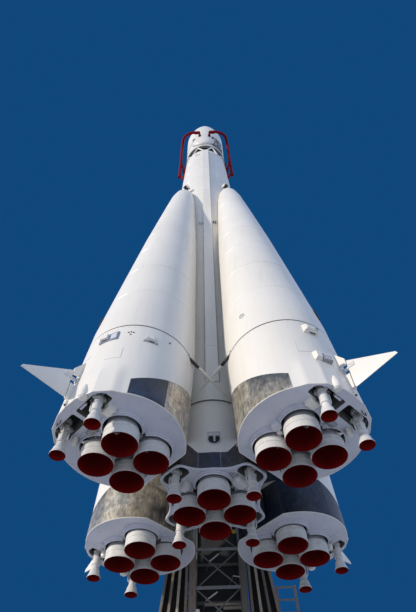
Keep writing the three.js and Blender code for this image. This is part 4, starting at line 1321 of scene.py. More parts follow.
def steering_chamber(node_name, drop, side, place):
    """Chamber and its lining; its two pipes run on the side away from the side given."""
    body = Shape()
    body.lathe([(radius, z - drop) for radius, z in VERNIER_PROFILE] + VERNIER_HEAD, 48, "engine")
    half = PIN_REACH - SEAT
    body.tube([(-half, 0, 0), (half, 0, 0)], 0.04, "engine", 20)
    for x in (-1, 1):
        body.tube([(x * 0.1, 0, 0), (x * 0.125, 0, 0)], 0.07, "engine", 20)
        pipe = [(x * 0.06, -side * 0.085, -drop + 0.33), (x * 0.065, -side * 0.105, -drop + 0.4),
                (x * 0.065, -side * 0.105, -0.12), (x * 0.05, -side * 0.07, -0.03)]
        body.tube(pipe, 0.018, "engine", 10)
    low, high = CLAMP_Z, CLAMP_Z + 0.03
    body.lathe([(0.088, low), (0.103, low), (0.103, high), (0.088, high), (0.088, low)], 40, "engine")
    for x in (-0.13, 0.13):
        body.box((x - 0.022, x + 0.022), (-0.028, 0.028), (low - 0.012, high + 0.012), "strap")
    settle(body.build(f"steering_{node_name}", place), "engine_paint", node_name, node_name)
    lining = Shape().lathe(shell_of([(r, z - drop) for r, z in VERNIER_LINING], 0.003), 48, "lining")
    settle(lining.build(f"steering_lining_{node_name}", place), "dark_red", node_name)


class ROCKET_OT_steering(RocketOperator):
    """Makes the twelve small steering chambers on their pins, with linings, clamps and feed pipes"""

    bl_idname = "rocket.steering"
    bl_label = "Steering chambers"

    def make(self, sizes, colours):
        for name, (azimuth, _) in BOOSTERS.items():
            for label, side in (("a", -1), ("b", 1)):
                spot = (VERNIER_RADIAL, side * VERNIER_TANGENTIAL, VERNIER_PIVOT)
                place = turned(azimuth) @ Matrix.Translation(spot)
                steering_chamber(f"booster_vernier_{label}_{name}", VERNIER_DROP, side, place)
                steering_feed(f"{label}_{name}", place)
            place = turned(azimuth) @ Matrix.Translation((CORE_VERNIER_RADIAL, 0, CORE_VERNIER_PIVOT))
            steering_chamber(f"core_vernier_{name}", CORE_VERNIER_DROP, 1, place)


class ROCKET_OT_rudders(RocketOperator):
    """Makes the four air rudders on their shafts"""

    bl_idname = "rocket.rudders"
    bl_label = "Air rudders"

    def make(self, sizes, colours):
        inner = FIN_SEAM + 0.01
        thick = inner + 0.35
        tip_x, tip_z = FIN_TIP
        edge = 0.008
        # Columns: radial, height, half thickness
        rows = [
            (inner, FIN_LOW + 0.1, FIN_HALF), (inner, FIN_HIGH - 0.12, FIN_HALF), (inner, FIN_LOW, edge),
            (inner, FIN_HIGH, edge), (thick, 1.2, FIN_HALF * 0.9), (thick, 0.95, FIN_HALF * 0.9),
            (tip_x, tip_z, edge), (tip_x - 0.03, tip_z + 0.07, edge),
        ]
        for name, (azimuth, _) in BOOSTERS.items():
            blade = Shape().hull([(x, s * t, z) for x, z, t in rows for s in (-1, 1)], "white")
            blade.tube([(3.985, 0, SHAFT_Z), (inner + 0.16, 0, SHAFT_Z)], 0.035, "engine", 20)
            blade.box((inner, inner + 0.16), (-FIN_HALF - 0.012, FIN_HALF + 0.012), (1.28, 1.4), "engine")
            node_name = f"air_rudder_{name}"
            obj = blade.build(f"rudder_{name}", turned(azimuth), bevel=0.006)
            settle(obj, "white_paint", node_name, node_name)


# Core tail. Columns of the lobes: degrees from the diagonal, radius of the outline
LOBES = [
    (0, 1.375), (6, 1.38), (10, 1.385), (13, 1.365), (15.5, 1.31), (18, 1.235), (21, 1.165), (25, 1.1),
    (30, 1.055), (36, 1.033), (45, CORE_RADIUS),
]
LOBE_STRAIGHT = 0.95
LOBE_TOP = 1.4
# Upper edge of the dark metal. Columns: degrees from the middle of a flat quarter, height
SHEET_TOP = [(0, 0.86), (18, 0.86), (33, 1.18), (45, 1.3)]
# Recess of a small chamber in each lobe, one side: radial, tangential
CORE_RECESS = [(0.99, 0.27), (1.08, 0.33), (1.24, 0.31), (1.315, 0.2)]
# Metal panels round each quarter of the core tail. Columns: from, to in degrees from the quarter, finish
CORE_PANELS = [(-45, -17.5, "scorched"), (-17.5, 9.5, "blued"), (9.5, 45, "scorched")]
# Rounded covers under the core's base. Columns: azimuth, radial, half width
CORE_COVERS = [(313, 0.84, 0.17), (221, 0.82, 0.11), (47, 0.84, 0.13), (133, 0.84, 0.13)]
# Section of such a cover. Columns: drop, share of the width
COVER_SECTION = [(-0.01, 1.0), (0.06, 1.0), (0.1, 0.92), (0.125, 0.75), (0.135, 0.45)]


def off_diagonal(angle):
    """Degrees between a direction and the nearest diagonal, 0 to 45."""
    return abs(math.degrees(angle) % 90 - 45)


def core_tail_radius(angle, z):
    """Radius of the core tail's skin: round, with a lobe low on each diagonal."""
    lobe = interpolate(LOBES, off_diagonal(angle))
    fade = 1 - smooth_step((z - LOBE_STRAIGHT) / (LOBE_TOP - LOBE_STRAIGHT))
    return CORE_RADIUS + (lobe - CORE_RADIUS) * fade


def sheet_top(angle):
    """Upper edge of the dark metal: low on each flat quarter, rising to the lobes."""
    return interpolate(SHEET_TOP, 45 - off_diagonal(angle))


def level_base(place):
    """Height of the core's base, the same everywhere."""
    return CORE_BASE


def lobed_skin():
    """Skin and base with the chambers' well and four recesses; gives the outline of the base."""
    levels = [CORE_BASE, 0.6, 0.8, LOBE_STRAIGHT, 1.02, 1.1, 1.18, 1.26, 1.33, LOBE_TOP, 1.9, 2.47, 2.498]
    tail = Shape()
    rows = []
    for z in levels:
        neck = 0.015 if z == levels[-1] else 0
        rows.append([polar(a, core_tail_radius(a, z) - neck, z) for a in around(240)])
    tail.loft(rows, "white", caps=(False, True))
    outline = [(x, y) for x, y, _ in rows[0]]
    ratio = CORE_CHAMBER_RADIAL / math.hypot(CHAMBER_OFFSET, CHAMBER_OFFSET)
    well = [(x * ratio, y * ratio) for x, y in clover(radians(45))]
    corners = CORE_RECESS + [(x, -y) for x, y in CORE_RECESS[::-1]]
    recesses = []
    for diagonal in DIAGONALS:
        loop = [turned(diagonal) @ Vector((x, y, 0)) for x, y in corners]
        recesses.append(trimmed([(p.x, p.y) for p in loop]))
    spots, faces = filled(outline, [well, *recesses])
    tail.add([(x, y, CORE_BASE) for x, y in spots], faces, "base")
    # Painted shade: the well's ceiling takes the seam shadow and each recess's ceiling the near-black
    pocket(tail, well, level_base, WELL_TOP, "bell", "seam")
    for recess in recesses:
        pocket(tail, recess, level_base, CORE_RECESS_TOP, "pylon", "cavity")
    settle(tail.build("core_tail_skin"), "shaded_paint", ROOT, "core_tail")
    return outline


def metal_band():
    """Dark metal panels round the tail, and the seams between them."""
    band = Shape()
    seams = []
    low = CORE_BASE + 0.02
    for quarter in (0, 90, 180, 270):
        for first, last, finish in CORE_PANELS:
            band_panel(band, quarter + first, quarter + last, low, finish)
            a = radians(quarter + last)
            heights = (low, 0.62, 0.8, sheet_top(a))
            seams.append(([polar(a, core_tail_radius(a, z) + 0.005, z) for z in heights], False))
    settle(band.build("core_tail_steel", sharp=50), "bare_steel")
    settle(bars("core_tail_seams", seams, 0.008, "plate", 8), "bare_steel")


def band_panel(shape, first, last, low, finish):
    """Metal panel of the band between two directions in degrees."""
    rows = []
    steps = round((last - first) / 1.5)
    for i in range(steps + 1):
        a = radians(first + (last - first) * i / steps)
        heights = [low + (sheet_top(a) - low) * share / 5 for share in range(6)]
        outer = [polar(a, core_tail_radius(a, z) + 0.006, z) for z in heights]
        inner = [polar(a, core_tail_radius(a, z) - 0.004, z) for z in heights[::-1]]
        rows.append(outer + inner)
    shape.loft(rows, finish)


def core_fittings(shape):
    """Collars, covers, feeds, and black boxes of painted shade in the gaps under the base."""
    for k in range(4):
        a = radians(90 * k)
        collar(shape, CORE_CHAMBER_RADIAL * cos(a), CORE_CHAMBER_RADIAL * sin(a), a, level_base)
    for azimuth, radial, half in CORE_COVERS:
        rows = []
        for drop, share in COVER_SECTION:
            z = CORE_BASE - drop * 1.25
            outline = rounded_box(1, 1, 0.45, 6)
            rows.append([(radial + half * 0.8 * share * x, half * share * y, z) for x, y in outline])
        shape.loft(rows, "engine", turned(azimuth))
    feed = [(0.93, -0.2, 0.44), (0.95, -0.21, 0.38), (0.9, -0.32, 0.36), (0.84, -0.36, 0.44)]
    for diagonal in DIAGONALS:
        shape.tube(feed, 0.022, "bell", 12, turned(diagonal))
    # Black boxes: painted shade in the gaps by the side chambers' collars
    for azimuth, radial in ((209, 0.53), (335, 0.545), (29, 0.53), (151, 0.53)):
        shape.box((radial - 0.05, radial + 0.05), (-0.1, 0.1), (0.4, 0.44), "strap", turned(azimuth))


def round_hatch(shape):
    """Round port in the front with its pipe elbow, under a square frame."""
    front = turned(270)
    y, z = 0.04, 1.24
    shape.tube(oval(1.035, y, z, 0.15, 0.15, 40), 0.018, "base", 8, front, closed=True)
    shape.tube([(1.02, y, z), (1.045, y, z)], 0.135, "cavity", 32, front)
    shape.tube([(1.04, 0.05, 1.17), (1.1, 0.05, 1.21), (1.1, 0.05, 1.3)], 0.026, "engine", 12, front)
    shape.tube([(1.09, -0.05, 1.3), (1.09, 0.13, 1.3)], 0.024, "engine", 12, front)
    for y0, y1, z0, z1 in ((-0.1, 0.18, 1.44, 1.45), (-0.1, -0.09, 1.2, 1.45), (0.17, 0.18, 1.2, 1.45)):
        shape.box((1.02, 1.036), (y0, y1), (z0, z1), "bell", front)


class ROCKET_OT_core_tail(RocketOperator):
    """Makes the core's tail with its four lobes, wells, recesses, dark metal band and fittings"""

    bl_idname = "rocket.core_tail"
    bl_label = "Core tail"

    def make(self, sizes, colours):
        outline = lobed_skin()
        metal_band()
        rim = [(x * 0.982, y * 0.982, CORE_BASE) for x, y in outline]
        settle(bars("core_tail_rims", [(rim, True)], 0.026, "base", 12), "shaded_paint")

        under = Shape()
        core_fittings(under)
        settle(under.build("core_base_fittings", bevel=0.01), "shaded_paint")
        hatch = Shape()
        round_hatch(hatch)
        settle(hatch.build("core_tail_fittings", bevel=0.005), "shaded_paint")


# Core tanks
def booster_gap(angle, z):
    """Distance from the core's axis to the nearest booster's skin."""
    off = radians(off_diagonal(angle))
    centre = BASE_RADIAL - (z - BASE_Z) * math.tan(LEAN)
    along = (z - BASE_Z) / cos(LEAN)
    if along > BOOSTER_TOP:
        return math.inf
    radius = interpolate(BOOSTER_PROFILE, along)
    across = centre * sin(off)
    if across >= radius:
        return math.inf
    return centre * cos(off) - sqrt(radius ** 2 - across ** 2)


def core_skin(bottom, top, seams):
    """Rows of the core's skin, grooved at seams and hollowed where boosters lie against it."""
    drops = {}
    for seam in seams:
        drops.update({seam - 0.024: 0, seam - 0.012: 0.008, seam + 0.012: 0.008, seam + 0.024: 0})
    even = {bottom + (top - bottom) * i / 48 for i in range(49)}
    rows = []
    for z in sorted({bottom, top} | even | set(drops)):
        radius = interpolate(CORE_PROFILE, z) - drops.get(z, 0)
        rows.append([polar(a, min(radius, booster_gap(a, z) - 0.004), z) for a in around(288)])
    return rows


def cable_duct():
    """Duct up the front, the bands over it and the dark lines along its sides."""
    x0, x1 = DUCT_CENTRE - DUCT_HALF, DUCT_CENTRE + DUCT_HALF
    rows = []
    for z in (DUCT_FOOT, 3.45, 7, CORE_WAIST, 13, 15, 17, 19.2, 22, 24.6):
        y = -interpolate(CORE_PROFILE, z) - DUCT_DEPTH * min(1, (z - DUCT_FOOT) * 3 + 0.2)
        rows.append([(x0, -0.9, z), (x1, -0.9, z), (x1, y + 0.02, z), (x1 - 0.02, y, z), (x0 + 0.02, y, z),
                     (x0, y + 0.02, z)])
    duct = Shape().loft(rows, "white")
    settle(duct.build("core_duct", sharp=40), "white_paint")
    bands = Shape()
    for z in (4.6, 6.2, 7.8, 9.4, 12.2, 14.4, 16.6, 18.4, 20.4, 22.4):
        y = -interpolate(CORE_PROFILE, z) - DUCT_DEPTH
        bands.box((x0 - 0.004, x1 + 0.004), (y - 0.003, -0.95), (z, z + 0.05), "white")
    settle(bands.build("core_duct_bands"), "white_paint")
    edges = []
    for x in (x0, x1):
        edges.append(([(x, min(-0.95, row[3][1] + 0.05), row[3][2]) for row in rows], False))
    settle(bars("core_duct_edges", edges, 0.009, "seam", 6), "white_paint")


def tank_marks(shape):
    """Short dashes, a round cover and four small plates on the upper tank's front."""
    for x in (0.31, 0.4):
        shape.box((x - 0.02, x + 0.02), (-1.2, -1.1), (13.5, 13.62), "strap")
    shape.tube([(-0.25, -1.1, 13.5), (-0.25, -1.19, 13.5)], 0.1, "base", 24)
    for azimuth, z in ((243, 24.1), (247, 24.25), (250, 23.85), (254, 24.0)):
        shape.box((1.28, 1.312), (-0.035, 0.035), (z, z + 0.09), "bell", turned(azimuth))


def tip_bracket(shape, turn):
    skin = interpolate(CORE_PROFILE, 17.7)
    cheek = [(skin - 0.03, 17.62), (1.62, 17.62), (1.66, 17.7), (1.6, 17.84), (skin - 0.03, 17.85)]
    for t in (-0.1, 0.1):
        shape.hull([(x, y, z) for y in (t - 0.03, t + 0.03) for x, z in cheek], "white", turn)
    # The black boxes are painted shadow in and round the clevis
    shape.box((skin - 0.02, 1.6), (-0.08, 0.08), (17.66, 17.8), "strap", turn)
    shape.box((1.5, 1.685), (-0.35, 0.35), (17.61, 17.84), "white", turn)
    for t in (-0.23, 0.23):
        shape.box((1.53, 1.695), (t - 0.08, t + 0.08), (17.605, 17.66), "strap", turn)
        shape.box((1.66, 1.765), (t - 0.085, t + 0.085), (17.63, 17.72), "strap", turn)
        shape.tube([(1.46, t * 1.3, 17.72), (1.52, t * 1.3, 17.72)], 0.05, "bell", 14, turn)
    shape.tube([(1.39, 0, 19.38), (1.595, 0, 17.82)], 0.045, "white", 16, turn)
    shape.tube([(1.56, 0, 18.08), (1.6, 0, 17.8)], 0.055, "strap", 16, turn)


class ROCKET_OT_core_tanks(RocketOperator):
    """Makes the core's tanks, the cable duct up the front and the brackets over the boosters' tips"""

    bl_idname = "rocket.core_tanks"
    bl_label = "Core tanks"

    def make(self, sizes, colours):
        lower = Shape().loft(core_skin(CORE_RING, CORE_WAIST, (5.2, 6.95, 8.8)), "white")
        settle(lower.build("core_lower_skin", sharp=24), "white_paint", ROOT, "core_lower_tank")
        rows = core_skin(CORE_WAIST + SEAT, CORE_TOP, (13.2, 15.4, 17.3, 19.2, 21.1, 23.0))
        upper = Shape().loft(rows, "white", caps=(True, False))
        # The top cap, seen between the truss rods, is near-black painted shade
        upper.add(rows[-1], [list(range(len(rows[-1])))], "cavity")
        settle(upper.build("core_upper_skin", sharp=24), "white_paint", ROOT, "core_upper_tank")
        cable_duct()

        marks = Shape()
        tank_marks(marks)
        settle(marks.build("core_marks", bevel=0.008), "bare_steel")
        brackets = Shape()
        for diagonal in DIAGONALS:
            tip_bracket(brackets, turned(diagonal))
        settle(brackets.build("tip_brackets", bevel=0.01), "white_paint")


# Section of the core's ring. Columns: radius, height
RING_PROFILE = [
    (0.95, 2.503), (1.06, 2.503), (1.07, 2.52), (1.07, 2.58), (1.06, 2.597), (0.95, 2.597), (0.95, 2.503),
]
# Rods and sleeves of a tie. Columns: first and last share of its length, radius, finish
TIE_PARTS = [
    (0.02, 0.22, 0.042, "strap"), (0.22, 0.5, 0.037, "white"), (0.49, 0.94, 0.03, "white"),
    (0.26, 0.29, 0.048, "white"), (0.36, 0.39, 0.048, "white"), (0.49, 0.52, 0.048, "white"),
]


def tie(shape, side, turn):
    """Rod from the ring to a booster's tail, with the pin at its outer end."""
    shift = Vector((0, 0, 0.03 * side))
    near = Vector((side * 0.52, -2.2, 2.8))
    far = Vector((-side * 0.55, -0.9, 2.553))
    for first, last, radius, finish in TIE_PARTS:
        shape.tube([near.lerp(far, share) + shift for share in (first, last)], radius, finish, 14, turn)
    shape.tube([near.lerp(far, share) + shift for share in (0.94, 1.0)], 0.024, "tie", 12, turn)
    pin = Vector((0, -0.06, 0.06))
    shape.tube([near + pin + shift, near - pin + shift], 0.045, "tie", 14, turn)


class ROCKET_OT_ties(RocketOperator):
    """Makes the core's ring and the eight crossed tie rods with their straps"""

    bl_idname = "rocket.ties"
    bl_label = "Tie frame"

    def make(self, sizes, colours):
        # The ring's underside takes the seam shadow: painted shade of the gap
        ring = Shape().lathe(RING_PROFILE, 144, lambda z: "seam" if z < 2.51 else "white")
        for quarter in range(4):
            for side in (-1, 1):
                tie(ring, side, turned(90 * quarter))
        settle(ring.build("tie_rods"), "bare_steel", ROOT, "tie_frame")


# Upper part. The blister's place is a turn about the axis and a height
BLISTER_TURN = radians(265.5)
BLISTER_HALF_TURN = 0.6
BLISTER_Z = 27.35
BLISTER_HALF_HEIGHT = 0.9
# Profiles of the fairing and of the upper engine. Columns: radius, height
FAIRING = [
    (0, 29.0), (1.28, 29.0), (1.28, 29.6), (1.274, 29.61), (1.274, 29.64), (1.28, 29.65), (1.28, 31.0),
    (1.25, 31.3), (1.195, 31.75), (1.13, 32.2), (1.005, 32.88), (0.86, 33.6), (0.715, 34.28), (0.56, 35.0),
    (0.41, 35.68), (0.25, 36.4), (0.16, 36.82), (0.08, 37.2), (0.045, 37.38), (0, 37.48),
]
UPPER_ENGINE = [
    (0, 25.75), (0.07, 25.75), (0.3, 25.16), (0.32, 25.15), (0.33, 25.16), (0.12, 25.78), (0.14, 25.86),
    (0.3, 25.93), (0.6, 25.97), (0.75, 26.05), (0.75, 26.19), (0, 26.19),
]
# Oval port on the upper stage: azimuth, height
PORT_AZIMUTH = 234
PORT_Z = 28.45
# Bay with equipment on the upper stage, its back a near-black painted shade: azimuth, lower and upper end
BAY_AZIMUTH = 312
BAY_LOW = 26.45
BAY_HIGH = 28.9
# Pipes in the bay. Columns: tangential, radius, lower and upper end
BAY_PIPES = [
    (-0.24, 0.05, 26.6, 28.6), (-0.1, 0.03, 26.5, 28.8), (0.03, 0.05, 26.6, 27.5), (0.04, 0.04, 27.8, 28.7),
    (0.17, 0.03, 26.5, 28.2), (0.27, 0.04, 26.7, 28.5),
]


def stage_profile():
    """Profile of the upper stage: a cylinder with two shallow grooves."""
    r = UPPER_RADIUS
    low = UPPER_BOTTOM
    profile = [(0, low), (r - 0.04, low), (r - 0.01, low + 0.002), (r, low + 0.012)]
    for z in (26.5, 28.3):
        profile += [(r, z), (r - 0.006, z + 0.01), (r - 0.006, z + 0.04), (r, z + 0.05)]
    return profile + [(r, UPPER_TOP - SEAT), (0, UPPER_TOP - SEAT)]


def truss(low, high):
    hoops = Shape()
    for z0, z1, finish in ((low, low + 0.1, "white"), (high - 0.1, high, "seam")):
        hoops.lathe([(1.12, z0), (1.25, z0), (1.25, z1), (1.12, z1), (1.12, z0)], 96, finish)
    settle(hoops.build("truss_hoops", bevel=0.008), "white_paint", ROOT, "interstage_truss")
    rods = []
    for i in range(8):
        foot = polar(TAU * i / 8, 1.2, low + 0.05)
        top = polar(TAU * (i + 0.5) / 8, 1.2, high - 0.05)
        next_foot = polar(TAU * (i + 1) / 8, 1.2, low + 0.05)
        rods += [([foot, top], False), ([top, next_foot], False)]
    settle(bars("truss_rods", rods, 0.05, "white", 14), "white_paint")


def blister():
    """Wide blister that swells out of the stage's front, with a thin dark line of painted shadow under it."""
    shape = Shape()
    for grow, z, depth, finish in ((0, BLISTER_Z, 0.24, "white"), (0.04, BLISTER_Z - 0.06, 0.035, "seam")):
        rows = []
        for share in (0.02, 0.2, 0.4, 0.58, 0.73, 0.85, 0.93, 0.98, 1.0):
            radius = UPPER_RADIUS - 0.004 + depth * sqrt(1 - share ** 2) ** 0.8
            spread = (BLISTER_HALF_TURN + grow) * share
            rise = (BLISTER_HALF_HEIGHT + grow) * share
            rows.append([polar(BLISTER_TURN + spread * cos(a), radius, z + rise * sin(a))
                         for a in around(64)])
        rows.append([(px * 0.97, py * 0.97, pz) for px, py, pz in rows[-1]])
        shape.loft(rows, finish)
    settle(shape.build("blister", sharp=60), "white_paint")


def port(shape, turn):
    """Oval port in a ring, with a near-black hollow of painted shade in its lower half."""
    r = UPPER_RADIUS
    shape.tube(oval(r + 0.004, 0, PORT_Z, 0.09, 0.38, 40), 0.03, "pylon", 8, turn, closed=True)
    shape.loft([oval(x, 0, PORT_Z, 0.075, 0.34, 32) for x in (r - 0.03, r + 0.004)], "bell", turn)
    shape.loft([oval(x, 0, PORT_Z - 0.15, 0.04, 0.15, 24) for x in (r - 0.03, r + 0.01)], "cavity", turn)


def bay(shape, turn):
    r = UPPER_RADIUS
    rows = []
    for i in range(12):
        y = 0.46 - 0.08 * i
        skin = sqrt(r ** 2 - y ** 2) + 0.004
        back = skin - 0.03
        rows.append([(skin, y, BAY_LOW), (skin, y, BAY_HIGH), (back, y, BAY_HIGH), (back, y, BAY_LOW)])
    # Near-black back of the bay: painted shade
    shape.loft(rows, "cavity", turn)
    for y, radius, first, last in BAY_PIPES:
        skin = sqrt(r ** 2 - y ** 2) + 0.03
        middle = (first + last) / 2
        pipe = [(skin - 0.02, y, first), (skin, y + 0.03, middle), (skin - 0.02, y - 0.01, last)]
        shape.tube(pipe, radius, "bell", 14, turn)
    for z in (26.75, 27.4, 28.1):
        shape.box((r - 0.06, r + 0.03), (-0.28, 0.3), (z, z + 0.04), "engine", turn)
    for y, z in ((-0.17, 27.0), (0.1, 27.62), (0.22, 26.95)):
        shape.box((r - 0.02, r + 0.07), (y - 0.06, y + 0.06), (z, z + 0.17), "base", turn)


def fairing_plates(shape):
    skin = interpolate([(z, radius) for radius, z in FAIRING[6:]], 32.4)
    for y in (-0.12, 0.0, 0.14):
        shape.box((skin - 0.04, skin + 0.012), (y - 0.045, y + 0.045), (32.35, 32.4), "bell", turned(305))


class ROCKET_OT_upper_part(RocketOperator):
    """Makes the open truss, the upper stage with its blister and equipment, its engine and the fairing"""

    bl_idname = "rocket.upper_part"
    bl_label = "Upper part"

    def make(self, sizes, colours):
        truss(CORE_TOP + SEAT, UPPER_BOTTOM - SEAT)
        engine = Shape().lathe(UPPER_ENGINE, 64, "engine")
        settle(engine.build("upper_chamber"), "engine_paint", ROOT, "upper_engine")
        ceiling = UPPER_BOTTOM + 0.001
        # The stage's underside is near-black painted shade
        stage = Shape().lathe(stage_profile(), 144, lambda z: "cavity" if z < ceiling else "white")
        settle(stage.build("upper_stage_skin"), "white_paint", ROOT, "upper_stage")
        blister()
        fairing = Shape().lathe(FAIRING, 144, "white")
        settle(fairing.build("fairing_skin"), "white_paint", ROOT, "payload_fairing")
        kit = Shape()
        port(kit, turned(PORT_AZIMUTH))
        bay(kit, turned(BAY_AZIMUTH))
        fairing_plates(kit)
        settle(kit.build("upper_stage_kit", bevel=0.006), "shaded_paint")


# Middle of the right arm's pipe, from its foot up the side and round to the front
ARM_PATH = [
    (1.65, 0, 23.7), (1.595, -0.425, 25.85), (1.54, -0.85, 27.9), (1.42, -1.31, 28.12), (1.18, -1.51, 28.16),
    (0.87, -1.62, 28.18), (0.33, -1.62, 28.18),
]
# Outline of the bar along the core's top. Columns: x, height
ARM_BAR = [(1.32, 23.12), (1.28, 24.8), (1.24, 26.08), (1.36, 26.09), (1.43, 23.3), (1.42, 23.12)]
# Struts from an arm's bar to its pipe. Columns: height on the bar, share of the pipe's straight part
ARM_STRUTS = [(23.2, 0.05), (24.55, 0.48)]


def smooth_path(spots, steps):
    """Smooth curve through points, in a number of steps between each two."""
    spots = [Vector(p) for p in spots]
    spots = [2 * spots[0] - spots[1], *spots, 2 * spots[-1] - spots[-2]]
    path = [spots[1]]
    for a, b, c, d in zip(spots, spots[1:], spots[2:], spots[3:]):
        before, here, after = [sqrt((q - p).length) for p, q in ((a, b), (b, c), (c, d))]
        leaving = ((b - a) / before - (c - a) / (before + here) + (c - b) / here) * here
        arriving = ((c - b) / here - (d - b) / (here + after) + (d - c) / after) * here
        for i in range(1, steps + 1):
            t = i / steps
            ease = 3 * t ** 2 - 2 * t ** 3
            place = b * (1 - ease) + c * ease
            path.append(place + leaving * (t ** 3 - 2 * t ** 2 + t) + arriving * (t ** 3 - t ** 2))
    return path


def arm_pipe(shape, spots, side):
    """Bent pipe with thicker ends, and the peg that holds the stage."""
    shape.tube(smooth_path(spots, 8), 0.09, "arms", 24)
    foot, tip = spots[0], spots[-1]
    along = (spots[1] - foot).normalized()
    shape.tube([foot - 0.02 * along, foot + 0.14 * along], 0.105, "arms", 24)
    shape.tube([spots[-2].lerp(tip, 0.35), tip + Vector((-side * 0.02, 0, 0))], 0.107, "arms", 24)
    skin = Vector((tip.x, -sqrt(UPPER_RADIUS ** 2 - tip.x ** 2), tip.z + 0.5))
    shape.tube([tip, skin], 0.055, "arms", 16)
    shape.tube([skin.lerp(tip, 0.3), skin], 0.1, "strap", 20)


def arm_bar(shape, side):
    """Flat bar along the core's top with three collars."""
    shape.hull([(side * x, y, z) for y in (-0.065, 0.065) for x, z in ARM_BAR], "arms")
    for z in (23.25, 24.5, 25.9):
        edge = 1.43 - 0.07 * (z - 23.3) / 2.8
        x = sorted((side * (edge - 0.12), side * (edge + 0.008)))
        shape.box(x, (-0.075, 0.075), (z - 0.04, z + 0.04), "arms")


class ROCKET_OT_arms(RocketOperator):
    """Makes the two red holding arms with their brackets"""

    bl_idname = "rocket.arms"
    bl_label = "Red arms"

    def make(self, sizes, colours):
        for name, side in (("left", -1), ("right", 1)):
            arm = Shape()
            spots = [Vector((side * x, y, z)) for x, y, z in ARM_PATH]
            arm_pipe(arm, spots, side)
            arm_bar(arm, side)
            for height, share in ARM_STRUTS:
                start = Vector((side * 1.38, 0, height))
                end = spots[0].lerp(spots[2], share)
                arm.tube([start, end], 0.055, "arms", 16)
                arm.tube([start, start.lerp(end, 0.18)], 0.075, "arms", 16)
            settle(arm.build(f"arm_{name}", sharp=40), "red_paint", ROOT, f"red_arm_{name}")


# Pylon
POST_X = 0.7
FRONT_Y = 4.0
REAR_Y = 4.8
POST = 0.18
POST_HALF = POST / 2
FLOOR = -NOZZLE_PLANE
SLAB_TOP = FLOOR + 0.3
MAST_TOP = 2.79
MAST_LEVELS = 9
MAST_STEP = 1.08
BOOM_TOP = 24.6
BOOM_BAYS = 8
HOLDS = {"low": 2.9, "middle": 12.4, "top": 24.15}
HOLD_HEIGHT = 0.3
# Side beams: edges as x at the top and at the foot, heights of the stubs to the mast, finishes of the ribs
BEAM_TOP = 2.2
BEAM_FOOT = SLAB_TOP + SEAT
BEAM_INNER = (0.8, 0.92)
BEAM_OUTER = (1.3, 2.3)
BEAM_STUBS = (1.9, -1.5, -5)
BEAM_RIBS = {-1: ("ribs", "cream", "ribs", "pylon"), 1: ("rust", "cream", "pylon", "rust")}
LADDER_TOP = 0.7
LADDER_Y = 4.281
LADDER_SIDES = (1.6, 2.1)
RUNG_COUNT = 20
RUNG_STEP = 0.33
# Thin pipes inside the mast. Columns: x and height of the left end, x and height of the right end, radius
MAST_PIPES = [
    (-0.23, 1.47, 0.03, 1.68, 0.02), (-0.34, 0.39, -0.03, 0.6, 0.02), (0.42, 1.03, 0.64, 0.99, 0.016),
]
# Crooked pale pipe down the mast's left post
LOOSE_PIPE = [
    (-0.83, 3.98, 0.72), (-0.82, 3.96, 0.6), (-0.84, 3.95, 0.52), (-0.81, 3.95, 0.42), (-0.84, 3.96, 0.33),
    (-0.8, 3.95, 0.22), (-0.81, 3.96, 0.1), (-0.82, 3.98, -0.1),
]


def upright(shape, x, y, heights, finish):
    shape.box((x - POST_HALF, x + POST_HALF), (y - POST_HALF, y + POST_HALF), heights, finish)


def channel(shape, half, heights, depth):
    """Crossbar of channel section in the front frame, open to the rear."""
    low, high = heights
    lip = 0.018
    face = FRONT_Y - depth
    shape.box((-half, half), (face, face + lip), heights, "bell")
    shape.box((-half, half), (face + lip / 2, FRONT_Y + depth), (high - lip, high), "bell")


def raking_plate(shape, side, left, right, ys, finish):
    """Plate of a side beam between two edges, each given as its x at the top and at the foot."""
    rows = []
    for x0, x1, z in ((left[1], right[1], BEAM_FOOT), (left[0], right[0], BEAM_TOP)):
        corners = ((x0, ys[0]), (x1, ys[0]), (x1, ys[1]), (x0, ys[1]))
        rows.append([(side * x, y, z) for x, y in corners])
    shape.loft(rows, finish)


def lattice(shaft, heights, levels, rung, crossed):
    """Four frames of a shaft: front with crossbars, rear with its sheet, braces and sides."""
    front = Shape()
    rear = Shape()
    # The left front post takes the lighter rusty brown as painted sunlight; the other posts take the pylon
    # paint
    for x, finish in ((-POST_X, "rust"), (POST_X, "pylon")):
        upright(front, x, FRONT_Y, heights, finish)
        upright(rear, x, REAR_Y, heights, "pylon")
    inner = POST_X - POST_HALF
    for z in levels:
        channel(front, inner + 0.02, (z - 0.8 * rung, z + 0.8 * rung), 0.06)
    if shaft == "boom":
        for z in HOLDS.values():
            channel(front, POST_X, (z, z + HOLD_HEIGHT), POST_HALF)
    settle(front.build(f"{shaft}_front", bevel=0.008), "pylon_steel", ROOT, f"pylon_{shaft}_front")
    # Near-black rear sheet: painted shade inside the mast
    rear.box((-inner - 0.02, inner + 0.02), (REAR_Y - 0.02, REAR_Y + 0.02), heights, "sheet")
    for z in levels:
        rear.box((-inner - 0.01, inner + 0.01), (REAR_Y - 0.06, REAR_Y), (z - 0.04, z + 0.04), "pylon")
    settle(rear.build(f"{shaft}_rear", bevel=0.01), "pylon_steel", ROOT, f"pylon_{shaft}_rear")
    front_braces(shaft, levels, inner, crossed)
    side_frames(shaft, levels)


def front_braces(shaft, levels, inner, crossed):
    """Diagonals of the front frame, crossed or one way and the other in turn."""
    braces = []
    for i, (high, low) in enumerate(zip(levels, levels[1:])):
        if crossed or i % 2 == 0:
            braces.append(([(-inner, FRONT_Y, low), (inner, FRONT_Y, high)], False))
        if crossed or i % 2:
            braces.append(([(inner, FRONT_Y, low), (-inner, FRONT_Y, high)], False))
    settle(bars(f"{shaft}_front_braces", braces, 0.02, "pylon", 8), "pylon_steel")


